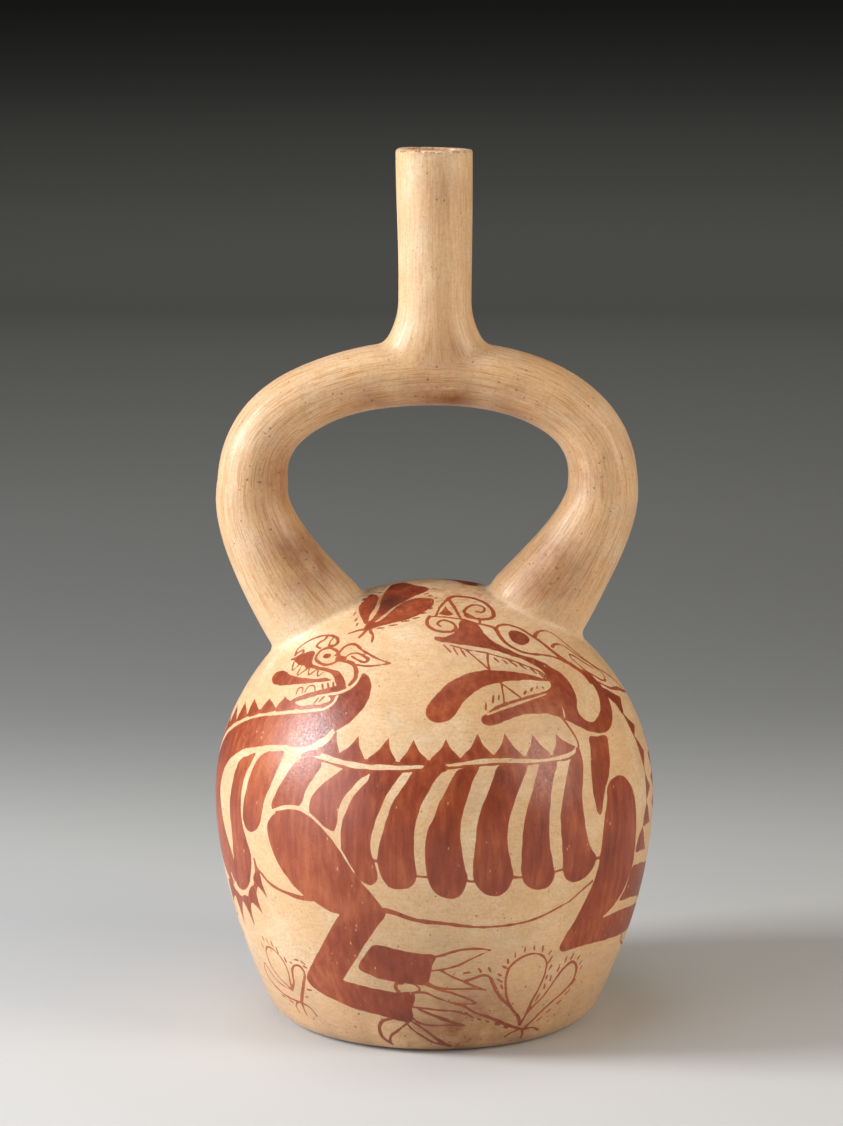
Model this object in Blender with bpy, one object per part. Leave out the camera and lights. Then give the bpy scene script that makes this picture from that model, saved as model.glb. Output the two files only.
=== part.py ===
"""A stirrup spout bottle of fired clay: a hollow round body on a flat base, a looped tubular handle that rises
from the dome on two legs, and a tall spout on the top of the loop. It was made as one piece, and the spout, the
loop and the body share one hollow. Units are metres, +Z is up, the loop lies in the XZ plane, and the origin is
the centre of the flat underside."""

import math

import bmesh
import bpy
from mathutils import Vector

# Body
GIRTH_RADIUS = 0.0735
GIRTH_HEIGHT = 0.074
DOME_HEIGHT = 0.0722
HEEL_RADIUS = 0.0538
HEEL_ROUND = 0.009
BODY_WALL = 0.0055
FLOOR_THICKNESS = 0.0075

# Stirrup loop, measured along the middle of its tube
ARCH_RISE = 0.0703
ARCH_DROP = 0.0355
LEFT_REACH = 0.0603
RIGHT_REACH = 0.0559
LEFT_LANDING = 0.0397
RIGHT_LANDING = 0.0345
LEG_LEAN_DEG = 37.3
ARCH_RADIUS = 0.0107
ARCH_DEPTH_RADIUS = 0.0122
LEG_RADIUS = 0.0172
LEG_DEPTH_RADIUS = 0.0165
TUBE_WALL = 0.0045

# Spout, whose height counts from the middle of the tube at the arch
SPOUT_RISE = 0.0735
SPOUT_RADIUS = 0.0127
SPOUT_WAIST_RADIUS = 0.0121
SPOUT_FLARE_HEIGHT = 0.024
SPOUT_FLARE = 0.0128
SPOUT_WALL = 0.0043
LIP_ROUND = 0.0012

# Shape of the curves
WALL_FULLNESS = 0.3
SHOULDER_FULLNESS = 0.51
ELBOW_FULLNESS = 0.70
KNEE_FULLNESS = 0.10
LEG_STRAIGHTNESS = 0.80
FLARE_START = 0.40
FLARE_POWER = 1.6

# Fineness of the mesh
BODY_SIDES = 56
CAVITY_SIDES = 36
TUBE_SIDES = 24
BORE_SIDES = 18
SPOUT_SIDES = 26
DOME_STEPS = 13
WALL_STEPS = 10
ROUND_STEPS = 4
ARCH_STEPS = 11
LEG_STEPS = 9
SPOUT_STEPS = 12
BISECTIONS = 40

BODY_HEIGHT = GIRTH_HEIGHT + DOME_HEIGHT
ARCH_MIDDLE = BODY_HEIGHT + ARCH_RISE
RIM_HEIGHT = ARCH_MIDDLE + SPOUT_RISE
CLAY_COLOUR = (0.74, 0.55, 0.35, 1.0)
CLAY_ROUGHNESS = 0.55


def dome_point(share):
    """(radius, height) on the outer wall, from the girth at 0 to the top of the dome at 1."""
    return Vector((GIRTH_RADIUS * math.sqrt(max(0.0, 1 - share * share)), GIRTH_HEIGHT + DOME_HEIGHT * share))


def lower_point(share):
    """(radius, height) on the outer wall, from the girth at 0 down to the floor at 1."""
    drawn_in = (1 + WALL_FULLNESS) * share * share / (1 + WALL_FULLNESS * share)
    return Vector((GIRTH_RADIUS - (GIRTH_RADIUS - HEEL_RADIUS) * drawn_in, GIRTH_HEIGHT * (1 - share)))


def outward(point_at, share, downward):
    """The wall's outward direction at a share of its dome or its lower half."""
    step = 1e-4
    low, high = point_at(max(0.0, share - step)), point_at(min(1.0, share + step))
    along = (high - low) * (1 if downward else -1)
    return Vector((-along.y, along.x)).normalized()


def heel_share():
    """The share of the lower wall at which an arc of HEEL_ROUND leaves it and lands on the floor."""
    low, high = 0.0, 1.0
    for _ in range(BISECTIONS):
        share = (low + high) / 2
        centre = lower_point(share) - outward(lower_point, share, True) * HEEL_ROUND
        if centre.y > HEEL_ROUND:
            low = share
        else:
            high = share
    return (low + high) / 2


def body_outline():
    """The outer outline, from the top of the dome down the wall, round the heel and in to the base's centre."""
    points = [dome_point(math.sin(math.pi / 2 * (1 - i / DOME_STEPS))) for i in range(DOME_STEPS)]
    last = heel_share()
    points += [lower_point(last * i / WALL_STEPS) for i in range(WALL_STEPS + 1)]
    facing = outward(lower_point, last, True)
    centre = points[-1] - facing * HEEL_ROUND
    start = math.atan2(facing.y, facing.x)
    for i in range(1, ROUND_STEPS + 1):
        angle = start + (-math.pi / 2 - start) * i / ROUND_STEPS
        points.append(centre + Vector((math.cos(angle), math.sin(angle))) * HEEL_ROUND)
    points[-1].y = 0.0
    points.append(Vector((0.0, 0.0)))
    return points


def cavity_outline():
    """The hollow's outline: the outer wall set in by BODY_WALL, down to the floor's upper side."""
    points = [Vector((0.0, BODY_HEIGHT - BODY_WALL))]
    for i in range(1, DOME_STEPS):
        share = math.sin(math.pi / 2 * (1 - i / DOME_STEPS))
        points.append(dome_point(share) - outward(dome_point, share, False) * BODY_WALL)
    corner_height = FLOOR_THICKNESS + HEEL_ROUND
    last = 1 - corner_height / GIRTH_HEIGHT
    for i in range(WALL_STEPS + 1):
        share = last * i / WALL_STEPS
        points.append(lower_point(share) - outward(lower_point, share, True) * BODY_WALL)
    corner = points[-1].copy()
    drop = corner.y - FLOOR_THICKNESS
    for i in range(1, ROUND_STEPS + 1):
        angle = math.pi / 2 * i / ROUND_STEPS
        points.append(corner - Vector((drop * (1 - math.cos(angle)), drop * math.sin(angle))))
    points.append(Vector((0.0, FLOOR_THICKNESS)))
    return points


def dome_height_at(radius):
    """Height of the outer dome at a distance from the axis."""
    return GIRTH_HEIGHT + DOME_HEIGHT * math.sqrt(1 - (radius / GIRTH_RADIUS) ** 2)


def bezier(a, b, c, d, share):
    """A point of the cubic curve from a to d with handles b and c."""
    rest = 1 - share
    return a * rest**3 + b * (3 * rest * rest * share) + c * (3 * rest * share * share) + d * share**3


def half_loop(side, reach, landing):
    """Points of the tube's middle line in (x, z), from the arch down one side and through the dome's wall."""
    top = Vector((0.0, ARCH_MIDDLE))
    widest = Vector((side * reach, ARCH_MIDDLE - ARCH_DROP))
    lean = math.radians(LEG_LEAN_DEG)
    inward = Vector((-side * math.sin(lean), -math.cos(lean)))
    foot = Vector((side * landing, dome_height_at(landing)))
    leg = (widest - foot).length
    handles = (top, top + Vector((side * reach * SHOULDER_FULLNESS, 0.0)),
               widest + Vector((0.0, ARCH_DROP * ELBOW_FULLNESS)), widest)
    points = [bezier(*handles, i / ARCH_STEPS) for i in range(ARCH_STEPS)]
    handles = (widest, widest - Vector((0.0, leg * KNEE_FULLNESS)), foot - inward * leg * LEG_STRAIGHTNESS, foot)
    points += [bezier(*handles, i / LEG_STEPS) for i in range(LEG_STEPS + 1)]
    points.append(foot + inward * BODY_WALL)
    points.append(foot + inward * 2 * BODY_WALL)
    return points


def loop_line():
    """(point, share) along the whole loop, left foot to right foot. The share runs from 0 at the arch to 1 at a foot."""
    line = []
    for side, reach, landing in ((-1, LEFT_REACH, LEFT_LANDING), (1, RIGHT_REACH, RIGHT_LANDING)):
        points = half_loop(side, reach, landing)
        lengths = [0.0]
        for a, b in zip(points, points[1:]):
            lengths.append(lengths[-1] + (b - a).length)
        foot_length = lengths[ARCH_STEPS + LEG_STEPS]
        half = [(p, min(1.0, length / foot_length)) for p, length in zip(points, lengths)]
        line = list(reversed(half)) if side < 0 else line + half[1:]
    return line


def tube_radii(share):
    """(in the loop's plane, across it) at a share of the way from the arch to a foot."""
    grown = max(0.0, (share - FLARE_START) / (1 - FLARE_START)) ** FLARE_POWER
    return (ARCH_RADIUS + (LEG_RADIUS - ARCH_RADIUS) * grown,
            ARCH_DEPTH_RADIUS + (LEG_DEPTH_RADIUS - ARCH_DEPTH_RADIUS) * grown)


def loop_rings(wall, sides):
    """Rings of the stirrup tube, set in by wall, each square to the tube's middle line."""
    line = loop_line()
    rings = []
    for i, (point, share) in enumerate(line):
        ahead = (line[min(i + 1, len(line) - 1)][0] - line[max(i - 1, 0)][0]).normalized()
        across = Vector((-ahead.y, 0.0, ahead.x))
        in_plane, deep = tube_radii(share)
        middle = Vector((point.x, 0.0, point.y))
        ring = []
        for k in range(sides):
            angle = 2 * math.pi * k / sides
            ring.append(middle + across * (in_plane - wall) * math.cos(angle)
                        + Vector((0.0, (deep - wall) * math.sin(angle), 0.0)))
        rings.append(ring)
    return rings


def level_ring(half_width, half_depth, height, sides):
    """One level ring round the spout's axis."""
    angles = [2 * math.pi * k / sides for k in range(sides)]
    return [Vector((half_width * math.cos(a), half_depth * math.sin(a), height)) for a in angles]


def spout_rings():
    """Rings of the spout from inside the arch's tube up to the rim: flared foot, slight waist, rounded lip."""
    rings = []
    sunk = ARCH_RADIUS / 5
    straight_top = SPOUT_RISE - LIP_ROUND
    for i in range(SPOUT_STEPS + 1):
        above = sunk + (straight_top - sunk) * (i / SPOUT_STEPS) ** 1.5
        share = above / SPOUT_RISE
        radius = SPOUT_WAIST_RADIUS + (SPOUT_RADIUS - SPOUT_WAIST_RADIUS) * math.sin(math.pi / 2 * share) ** 4
        flare = SPOUT_FLARE * max(0.0, 1 - above / SPOUT_FLARE_HEIGHT) ** 2
        rings.append(level_ring(radius + flare, radius - 0.0003, ARCH_MIDDLE + above, SPOUT_SIDES))
    for i in range(1, ROUND_STEPS + 1):
        angle = math.pi / 2 * i / ROUND_STEPS
        radius = SPOUT_RADIUS - LIP_ROUND * (1 - math.cos(angle))
        height = RIM_HEIGHT - LIP_ROUND * (1 - math.sin(angle))
        rings.append(level_ring(radius, radius, height, SPOUT_SIDES))
    return rings


def spout_bore_rings():
    """Rings of the spout's bore, narrowing a little from above the rim down into the loop's own bore."""
    mouth = SPOUT_RADIUS - SPOUT_WALL
    root = min(mouth, (ARCH_DEPTH_RADIUS - TUBE_WALL) * 0.96)
    sunk = (ARCH_RADIUS - TUBE_WALL) / 3
    over = LIP_ROUND * 2
    return [level_ring(root, root, ARCH_MIDDLE - sunk, BORE_SIDES),
            level_ring(mouth, mouth, RIM_HEIGHT + over, BORE_SIDES)]


def clay(name):
    """Cream slip over fired clay."""
    material = bpy.data.materials.new(name)
    material.use_nodes = True
    shader = material.node_tree.nodes["Principled BSDF"]
    shader.inputs["Base Color"].default_value = CLAY_COLOUR
    shader.inputs["Roughness"].default_value = CLAY_ROUGHNESS
    shader.inputs["Metallic"].default_value = 0.0
    return material


def place(name, bm, material):
    """Turns a bmesh into a named object with its faces pointing out."""
    bmesh.ops.remove_doubles(bm, verts=bm.verts, dist=1e-7)
    bmesh.ops.recalc_face_normals(bm, faces=bm.faces)
    mesh = bpy.data.meshes.new(name)
    bm.to_mesh(mesh)
    bm.free()
    mesh.materials.append(material)
    mesh.shade_smooth()
    mesh.set_sharp_from_angle(angle=math.radians(40))
    obj = bpy.data.objects.new(name, mesh)
    bpy.context.scene.collection.objects.link(obj)
    return obj


def turned(name, outline, sides, material):
    """Turns an outline of (radius, height) points round the Z axis."""
    bm = bmesh.new()
    verts = [bm.verts.new((p.x, 0.0, p.y)) for p in outline]
    edges = [bm.edges.new(pair) for pair in zip(verts, verts[1:])]
    bmesh.ops.spin(bm, geom=verts + edges, cent=(0, 0, 0), axis=(0, 0, 1), angle=2 * math.pi, steps=sides,
                   use_merge=True)
    return place(name, bm, material)


def lofted(name, rings, material):
    """Joins closed rings one after another and caps both ends."""
    bm = bmesh.new()
    loops = [[bm.verts.new(p) for p in ring] for ring in rings]
    for low, high in zip(loops, loops[1:]):
        for k in range(len(low)):
            following = (k + 1) % len(low)
            bm.faces.new((low[k], low[following], high[following], high[k]))
    bm.faces.new(loops[0])
    bm.faces.new(loops[-1])
    return place(name, bm, material)


def combine(target, other, operation):
    """Fuses other to target or cuts it out, and keeps other as a hidden guide."""
    step = target.modifiers.new(f"{operation.lower()} {other.name}", "BOOLEAN")
    step.operation = operation
    step.object = other
    other.hide_render = True
    other.display_type = "WIRE"


def build_vessel():
    """Body, stirrup and spout fused into one piece, and their hollows cut out as one."""
    material = clay("cream slip")
    vessel = turned("vessel", body_outline(), BODY_SIDES, material)
    combine(vessel, lofted("stirrup_guide", loop_rings(0.0, TUBE_SIDES), material), "UNION")
    combine(vessel, lofted("spout_guide", spout_rings(), material), "UNION")
    combine(vessel, turned("cavity_cutter", cavity_outline(), CAVITY_SIDES, material), "DIFFERENCE")
    combine(vessel, lofted("stirrup_bore_cutter", loop_rings(TUBE_WALL, BORE_SIDES), material), "DIFFERENCE")
    combine(vessel, lofted("spout_bore_cutter", spout_bore_rings(), material), "DIFFERENCE")


for existing in list(bpy.data.objects):
    bpy.data.objects.remove(existing)
build_vessel()
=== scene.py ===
# Stirrup spout bottle in burnished cream slip with crested beasts and plants painted in red slip
import math

import bmesh
import bpy
import numpy as np
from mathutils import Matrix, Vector, geometry


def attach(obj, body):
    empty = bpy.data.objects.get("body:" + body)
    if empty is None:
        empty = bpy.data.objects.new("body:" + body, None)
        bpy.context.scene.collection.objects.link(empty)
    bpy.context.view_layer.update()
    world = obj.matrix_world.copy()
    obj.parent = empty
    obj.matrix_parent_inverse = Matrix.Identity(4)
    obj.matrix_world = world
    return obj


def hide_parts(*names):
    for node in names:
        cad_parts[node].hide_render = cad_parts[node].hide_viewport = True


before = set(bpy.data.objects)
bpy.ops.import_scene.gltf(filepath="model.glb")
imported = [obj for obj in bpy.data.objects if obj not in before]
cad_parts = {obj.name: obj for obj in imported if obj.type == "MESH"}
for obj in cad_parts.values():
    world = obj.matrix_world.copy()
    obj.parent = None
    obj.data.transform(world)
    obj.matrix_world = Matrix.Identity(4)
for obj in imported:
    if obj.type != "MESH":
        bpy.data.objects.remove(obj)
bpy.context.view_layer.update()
print("frame loaded")

# Form of the clay, in mm, with the same sizes as the CAD
clayForm = {
    "girthRadius": 73.5,
    "girthHeight": 74.0,
    "domeHeight": 72.2,
    "heelRadius": 53.8,
    "heelRound": 9.0,
    "wallFullness": 0.3,
    "bodyWall": 5.5,
    "floor": 7.5,
    "archRise": 70.3,
    "archDrop": 35.5,
    "leftReach": 60.3,
    "rightReach": 55.9,
    "leftLanding": 39.7,
    "rightLanding": 34.5,
    "legLean": 37.3,
    "archRadius": 10.7,
    "archDepth": 12.2,
    "legRadius": 17.2,
    "legDepth": 16.5,
    "flareStart": 0.40,         # share of each side at which the tube starts to widen
    "flarePower": 1.6,
    "shoulderPull": 0.51,       # handles of the middle line's curves, as shares of the reach, drop and leg
    "elbowPull": 0.70,
    "shankStart": 0.10,
    "shankEnd": 0.80,
    "pastFoot": 24.0,           # how far the middle line runs on into the body
    "searchOut": 45.0,          # a leg's joint is looked for this far outside the foot
    "searchIn": 23.0,           # and this far inside it
    "tubeWall": 4.5,
    "spoutRise": 73.5,
    "spoutRadius": 12.7,
    "spoutWaist": 12.1,
    "flareHeight": 24.0,
    "spoutFlare": 12.8,
    "spoutWall": 4.3,
    "spoutSquash": 0.3,         # how much shallower than wide the spout is
    "boreShare": 0.96,          # the spout's bore ends a little inside the loop's
    "lipRound": 1.2,
    "lipInner": 0.5,            # rounding of the lip's inner edge
    "heelInner": 0.4,           # how much less the hollow's heel is rounded, for each mm of wall
    "poleRadius": 3.0,          # the last ring round each pole, closed by a fan
    "wallSpacing": 2.2,         # distance between plain mesh points on the outside
    "innerSpacing": 6.0,        # and inside, where nothing shows
    "jointSides": 72,           # points round each joint of a leg with the body
    "spoutSides": 96,
    "spoutRows": 44,
    "spoutCrowding": 1.15,      # above 1, the spout's rows crowd towards its foot
    "tubeFiner": 0.9,           # spacing on the tube as a share of the wall's
    "boreFiner": 0.6,           # and in the tube's bore
    "tubeMean": 12.0,           # radius at which the tube's flat map is laid out
    "fineSpacing": 4.0,         # skins with less spacing than this get the soft rows
    "softRows": (0.9, 1.9, 3.1, 4.5),   # distances of close rings of points from each joint
    "softMargin": 1.15,         # plain points keep this many times the soft reach from a joint
    "softReach": 5.0,           # how far from a joint a wet finger has rounded the clay
    "softPull": 0.6,            # how far one stroke of the finger moves it, and how many strokes there are
    "softTimes": 14,
    "unevenness": 0.35,         # how far the hand-built wall strays from true
    "curveSteps": 1200,         # samples along each curve of the outline
}
domeTop = clayForm["girthHeight"] + clayForm["domeHeight"]
loopTop = domeTop + clayForm["archRise"]
rimTop = loopTop + clayForm["spoutRise"]


# (radius, height) rows up the wall, from the middle of the floor to the top of the dome, set in by inset.
# Floor, rounded heel, a lower wall drawn in by (1 + k) t² / (1 + k t), then a quarter ellipse.
def bodyOutline(inset):
    f = clayForm
    full, girth, high = f["wallFullness"], f["girthRadius"], f["girthHeight"]
    t = np.linspace(0, 1, f["curveSteps"])
    drawn = (girth - f["heelRadius"]) * (1 + full) * t * t / (1 + full * t)
    wall = np.stack([girth - drawn, high * (1 - t)], 1)
    along = np.gradient(wall, axis=0)
    facing = np.stack([-along[:, 1], along[:, 0]], 1)
    facing /= np.linalg.norm(facing, axis=1)[:, None]
    rounding = f["heelRound"] - inset * f["heelInner"]
    lift = f["floor"] if inset else 0.0
    wall = wall - facing * inset
    leave = np.argmin(abs(wall[:, 1] - facing[:, 1] * rounding - rounding - lift))
    centre = wall[leave] - facing[leave] * rounding
    start = math.atan2(facing[leave, 1], facing[leave, 0])
    turn = np.linspace(-math.pi / 2, start, 40)
    heel = centre + rounding * np.stack([np.cos(turn), np.sin(turn)], 1)
    heel[:, 1] += lift - heel[0, 1]
    floor = np.stack([np.linspace(f["poleRadius"], heel[0, 0], 60), np.full(60, lift)], 1)
    angle = np.linspace(0, math.pi / 2, f["curveSteps"])
    dome = np.stack([(girth - inset) * np.cos(angle), high + (f["domeHeight"] - inset) * np.sin(angle)], 1)
    dome = dome[dome[:, 0] > f["poleRadius"]]
    return np.concatenate([floor[:-1], heel, wall[:leave][::-1], dome[1:]])


# One skin of the body. Its flat map is conformal: across is the angle round the axis, 0 at the front, and
# up is the sum of distance over radius, so small figures keep their shape anywhere on it.
class Wall:
    def __init__(self, inset):
        rows = bodyOutline(inset)
        step = np.concatenate([[0], np.linalg.norm(np.diff(rows, axis=0), axis=1)])
        keep = np.concatenate([[True], step[1:] > 1e-6])
        rows, step = rows[keep], step[keep]
        self.radius, self.height = rows.T
        self.length = np.cumsum(step)
        middle = np.concatenate([[self.radius[0]], (self.radius[1:] + self.radius[:-1]) / 2])
        self.up = np.cumsum(step / middle)
        self.inset = inset
        self.edge = self.length[np.argmax(self.height > self.height[0] + 1e-6) - 1]

    # Point in space: (r sin a, -r cos a, height).
    def at(self, across, up):
        r = np.interp(up, self.up, self.radius)
        return np.stack([r * np.sin(across), -r * np.cos(across), np.interp(up, self.up, self.height)], -1)

    # Place on the map of points on the dome.
    def flat(self, points):
        return np.arctan2(points[:, 0], -points[:, 1]), np.interp(points[:, 2], self.height, self.up)


# Cubic curve from a to d with handles b and c.
def cubic(a, b, c, d, t):
    t = t[:, None]
    return a * (1 - t)**3 + b * 3 * t * (1 - t)**2 + c * 3 * t * t * (1 - t) + d * t**3


# The stirrup's tube: a middle line in the XZ plane and an ellipse that widens towards the legs.
class Loop:
    def __init__(self):
        f = clayForm
        halves = []
        for side, reach, landing in ((-1, f["leftReach"], f["leftLanding"]),
                                     (1, f["rightReach"], f["rightLanding"])):
            top = np.array([0.0, loopTop])
            widest = np.array([side * reach, top[1] - f["archDrop"]])
            lean = math.radians(f["legLean"])
            inward = np.array([-side * math.sin(lean), -math.cos(lean)])
            slope = math.sqrt(1 - (landing / f["girthRadius"])**2)
            foot = np.array([side * landing, f["girthHeight"] + f["domeHeight"] * slope])
            leg = np.linalg.norm(widest - foot)
            t = np.linspace(0, 1, 400)
            out = top + [side * reach * f["shoulderPull"], 0]
            above = widest + [0, f["archDrop"] * f["elbowPull"]]
            below = widest - [0, leg * f["shankStart"]]
            shoulder = cubic(top, out, above, widest, t)
            shank = cubic(widest, below, foot - inward * leg * f["shankEnd"], foot, t)[1:]
            past = foot + inward * np.linspace(0.2, f["pastFoot"], 60)[:, None]
            half = np.concatenate([shoulder, shank, past])
            run = np.concatenate([[0], np.cumsum(np.linalg.norm(np.diff(half, axis=0), axis=1))])
            halves.append((half, run, run[len(shoulder) + len(shank) - 1]))
        (left, leftRun, leftFootSheen), (right, rightRun, rightFoot) = halves
        self.line = np.concatenate([left[::-1], right[1:]])
        self.run = np.concatenate([-leftRun[::-1], rightRun[1:]])
        share = np.where(self.run < 0, -self.run / leftFootSheen, self.run / rightFoot)
        grown = np.clip((share - f["flareStart"]) / (1 - f["flareStart"]), 0, 1)**f["flarePower"]
        self.inPlane = f["archRadius"] + (f["legRadius"] - f["archRadius"]) * grown
        self.deep = f["archDepth"] + (f["legDepth"] - f["archDepth"]) * grown
        ahead = np.gradient(self.line, axis=0)
        ahead /= np.linalg.norm(ahead, axis=1)[:, None]
        self.across = np.stack([-ahead[:, 1], ahead[:, 0]], 1)
        self.feet = (-leftFootSheen, rightFoot)

    # Middle line, direction across it and both half widths at each run.
    def along(self, run):
        known = (*self.line.T, *self.across.T, self.inPlane, self.deep)
        return (np.interp(run, self.run, values) for values in known)

    # Point in space: middle line + across (a - inset) cos + depth (b - inset) sin.
    def at(self, run, angle, inset):
        x, z, ax, az, a, b = self.along(run)
        across = (a - inset) * np.cos(angle)
        return np.stack([x + ax * across, (b - inset) * np.sin(angle), z + az * across], -1)

    # (run, angle, fill) of points near the arch, where fill is 1 on the tube's skin.
    def nearest(self, points, inset):
        gap = points[:, None, [0, 2]] - self.line[None]
        near = (gap**2).sum(2).argmin(1)
        low, high = np.clip(near - 1, 0, None), np.clip(near + 1, None, len(self.line) - 1)
        base, span = self.line[low], self.line[high] - self.line[low]
        t = ((points[:, [0, 2]] - base) * span).sum(1) / (span**2).sum(1)
        run = self.run[low] + t * (self.run[high] - self.run[low])
        x, z, ax, az, a, b = self.along(run)
        out = ((points[:, 0] - x) * ax + (points[:, 2] - z) * az) / (a - inset)
        deep = points[:, 1] / (b - inset)
        return run, np.arctan2(deep, out), np.hypot(out, deep)


# The share between low and high at which inside turns false, for each row.
def bisect(inside, low, high):
    for _ in range(36):
        middle = (low + high) / 2
        held = inside(middle)
        low, high = np.where(held, middle, low), np.where(held, high, middle)
    return (low + high) / 2


# Angles, runs and points at which one leg's skin meets the dome's skin.
def legRing(loop, wall, tubeInset, side):
    f = clayForm
    angle = np.linspace(-math.pi, math.pi, f["jointSides"] + 1)
    foot = loop.feet[0] if side < 0 else loop.feet[1]

    def above(run):
        p = loop.at(run, angle, tubeInset)
        wide = (p[:, 0]**2 + p[:, 1]**2) / (f["girthRadius"] - wall.inset)**2
        return wide + ((p[:, 2] - f["girthHeight"]) / (f["domeHeight"] - wall.inset))**2 > 1

    inner = np.full(len(angle), foot - side * f["searchOut"])
    run = bisect(above, inner, np.full(len(angle), foot + side * f["searchIn"]))
    return angle, run, loop.at(run, angle, tubeInset)


# A point of the spout's outside, above the middle of the arch: a round column, flared left and right at its
# foot by (1 - h / flare height)², and widening a little to the rim.
def spoutPoint(angle, above):
    f = clayForm
    share = above / f["spoutRise"]
    radius = f["spoutWaist"] + (f["spoutRadius"] - f["spoutWaist"]) * np.sin(math.pi / 2 * share)**4
    flare = f["spoutFlare"] * np.clip(1 - above / f["flareHeight"], 0, None)**2
    deep = radius - f["spoutSquash"]
    return np.stack([(radius + flare) * np.cos(angle), deep * np.sin(angle), loopTop + above], -1)


# A point of the spout's bore: a cone from the mouth down to a little less than the arch's own bore.
def borePoint(angle, above):
    f = clayForm
    mouth = f["spoutRadius"] - f["spoutWall"]
    root = min(mouth, (f["archDepth"] - f["tubeWall"]) * f["boreShare"])
    radius = root + (mouth - root) * np.clip(above / f["spoutRise"], 0, 1)
    return np.stack([radius * np.cos(angle), radius * np.sin(angle), loopTop + above], -1)


# True for points inside a closed ring on the map, by counting crossings of its edges.
def insideRing(ring, points):
    a, b = ring, np.roll(ring, -1, axis=0)
    x, y = points[:, None, 0], points[:, None, 1]
    spans = (a[None, :, 1] > y) != (b[None, :, 1] > y)
    rise = np.where(b[:, 1] == a[:, 1], 1e-12, b[:, 1] - a[:, 1])
    cross = a[None, :, 0] + (y - a[None, :, 1]) * ((b[:, 0] - a[:, 0]) / rise)[None] > x
    return (spans & cross).sum(1) % 2 == 1


# Distance on the map from each point to the nearest ring point.
def ringGap(ring, points):
    return np.sqrt(((points[:, None] - ring[None])**2).sum(2).min(1))


# Outward directions of a closed ring on a map, one for each of its points.
def ringNormals(ring):
    tangent = np.roll(ring, -1, axis=0) - np.roll(ring, 1, axis=0)
    normal = np.stack([tangent[:, 1], -tangent[:, 0]], 1)
    normal *= np.sign((normal * (ring - ring.mean(0))).sum(1))[:, None]
    return normal / np.linalg.norm(normal, axis=1)[:, None]


# Angles once round, from one side of the seam to the other, moved on by half a step in a shifted row.
def roundRow(count, shifted):
    row = np.linspace(-math.pi, math.pi, count + 1)
    return np.concatenate([[-math.pi], row[:-1] + math.pi / count, [math.pi]]) if shifted else row


# Delaunay triangles of flat points that keep every given edge.
def triangles(points, edges):
    out = geometry.delaunay_2d_cdt([Vector(p) for p in points.tolist()], edges.tolist(), [], 0, 1e-7, False)
    return np.array([tuple(v) for v in out[0]]), np.array([f for f in out[2] if len(f) == 3])


# Edges of a closed ring of points numbered from first.
def closedEdges(first, count):
    k = np.arange(count)
    return np.stack([first + k, first + (k + 1) % count], 1)


# Triangles over the body's map: plain points a spacing apart, denser round the legs' rings, with the edges
# of the painting kept, and the rings cut out.
def bodySkin(wall, rings, spacing, brush=None):
    f = clayForm
    rows = np.linspace(0, wall.length[-1], int(wall.length[-1] / spacing) + 1)
    ups = np.interp(rows, wall.length, wall.up)
    radii = np.interp(rows, wall.length, wall.radius)
    plain = []
    for k, (up, radius) in enumerate(zip(ups, radii)):
        count = max(16, round(2 * math.pi * radius / spacing))
        across = roundRow(count, k % 2 and 0 < k < len(ups) - 1)
        plain.append(np.stack([across, np.full(len(across), up)], 1))
    plain = np.concatenate(plain)
    loose, edges, holes = [], [], []
    fine = spacing < f["fineSpacing"]
    for ring in rings:
        ring = np.stack(wall.flat(ring[:-1]), 1)
        radius = np.interp(ring[:, 1].mean(), wall.up, wall.radius)
        reach = f["softReach"] * f["softMargin"] if fine else 1.0
        near = ringGap(ring, plain) < reach / radius
        plain = plain[~(near | insideRing(ring, plain))]
        edges.append(closedEdges(sum(map(len, holes)), len(ring)))
        holes.append(ring)
        if fine:
            normal = ringNormals(ring)
            loose += [ring + normal * gap / radius for gap in f["softRows"]]
    loose = np.concatenate(loose + [plain])
    fixed = np.concatenate(holes)
    if brush:
        loose = loose[abs(brush.at(loose)) > paintwork["clear"]]
        painted, joined = brush.contour()
        edges.append(joined + len(fixed))
        fixed = np.concatenate([fixed, painted])
    flat, faces = triangles(np.concatenate([fixed, loose]), np.concatenate(edges))
    middle = flat[faces].mean(1)
    keep = np.ones(len(faces), bool)
    for ring in holes:
        keep &= ~insideRing(ring, middle)
    return flat, wall.at(flat[:, 0], flat[:, 1]), faces[keep], middle[keep]


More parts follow.
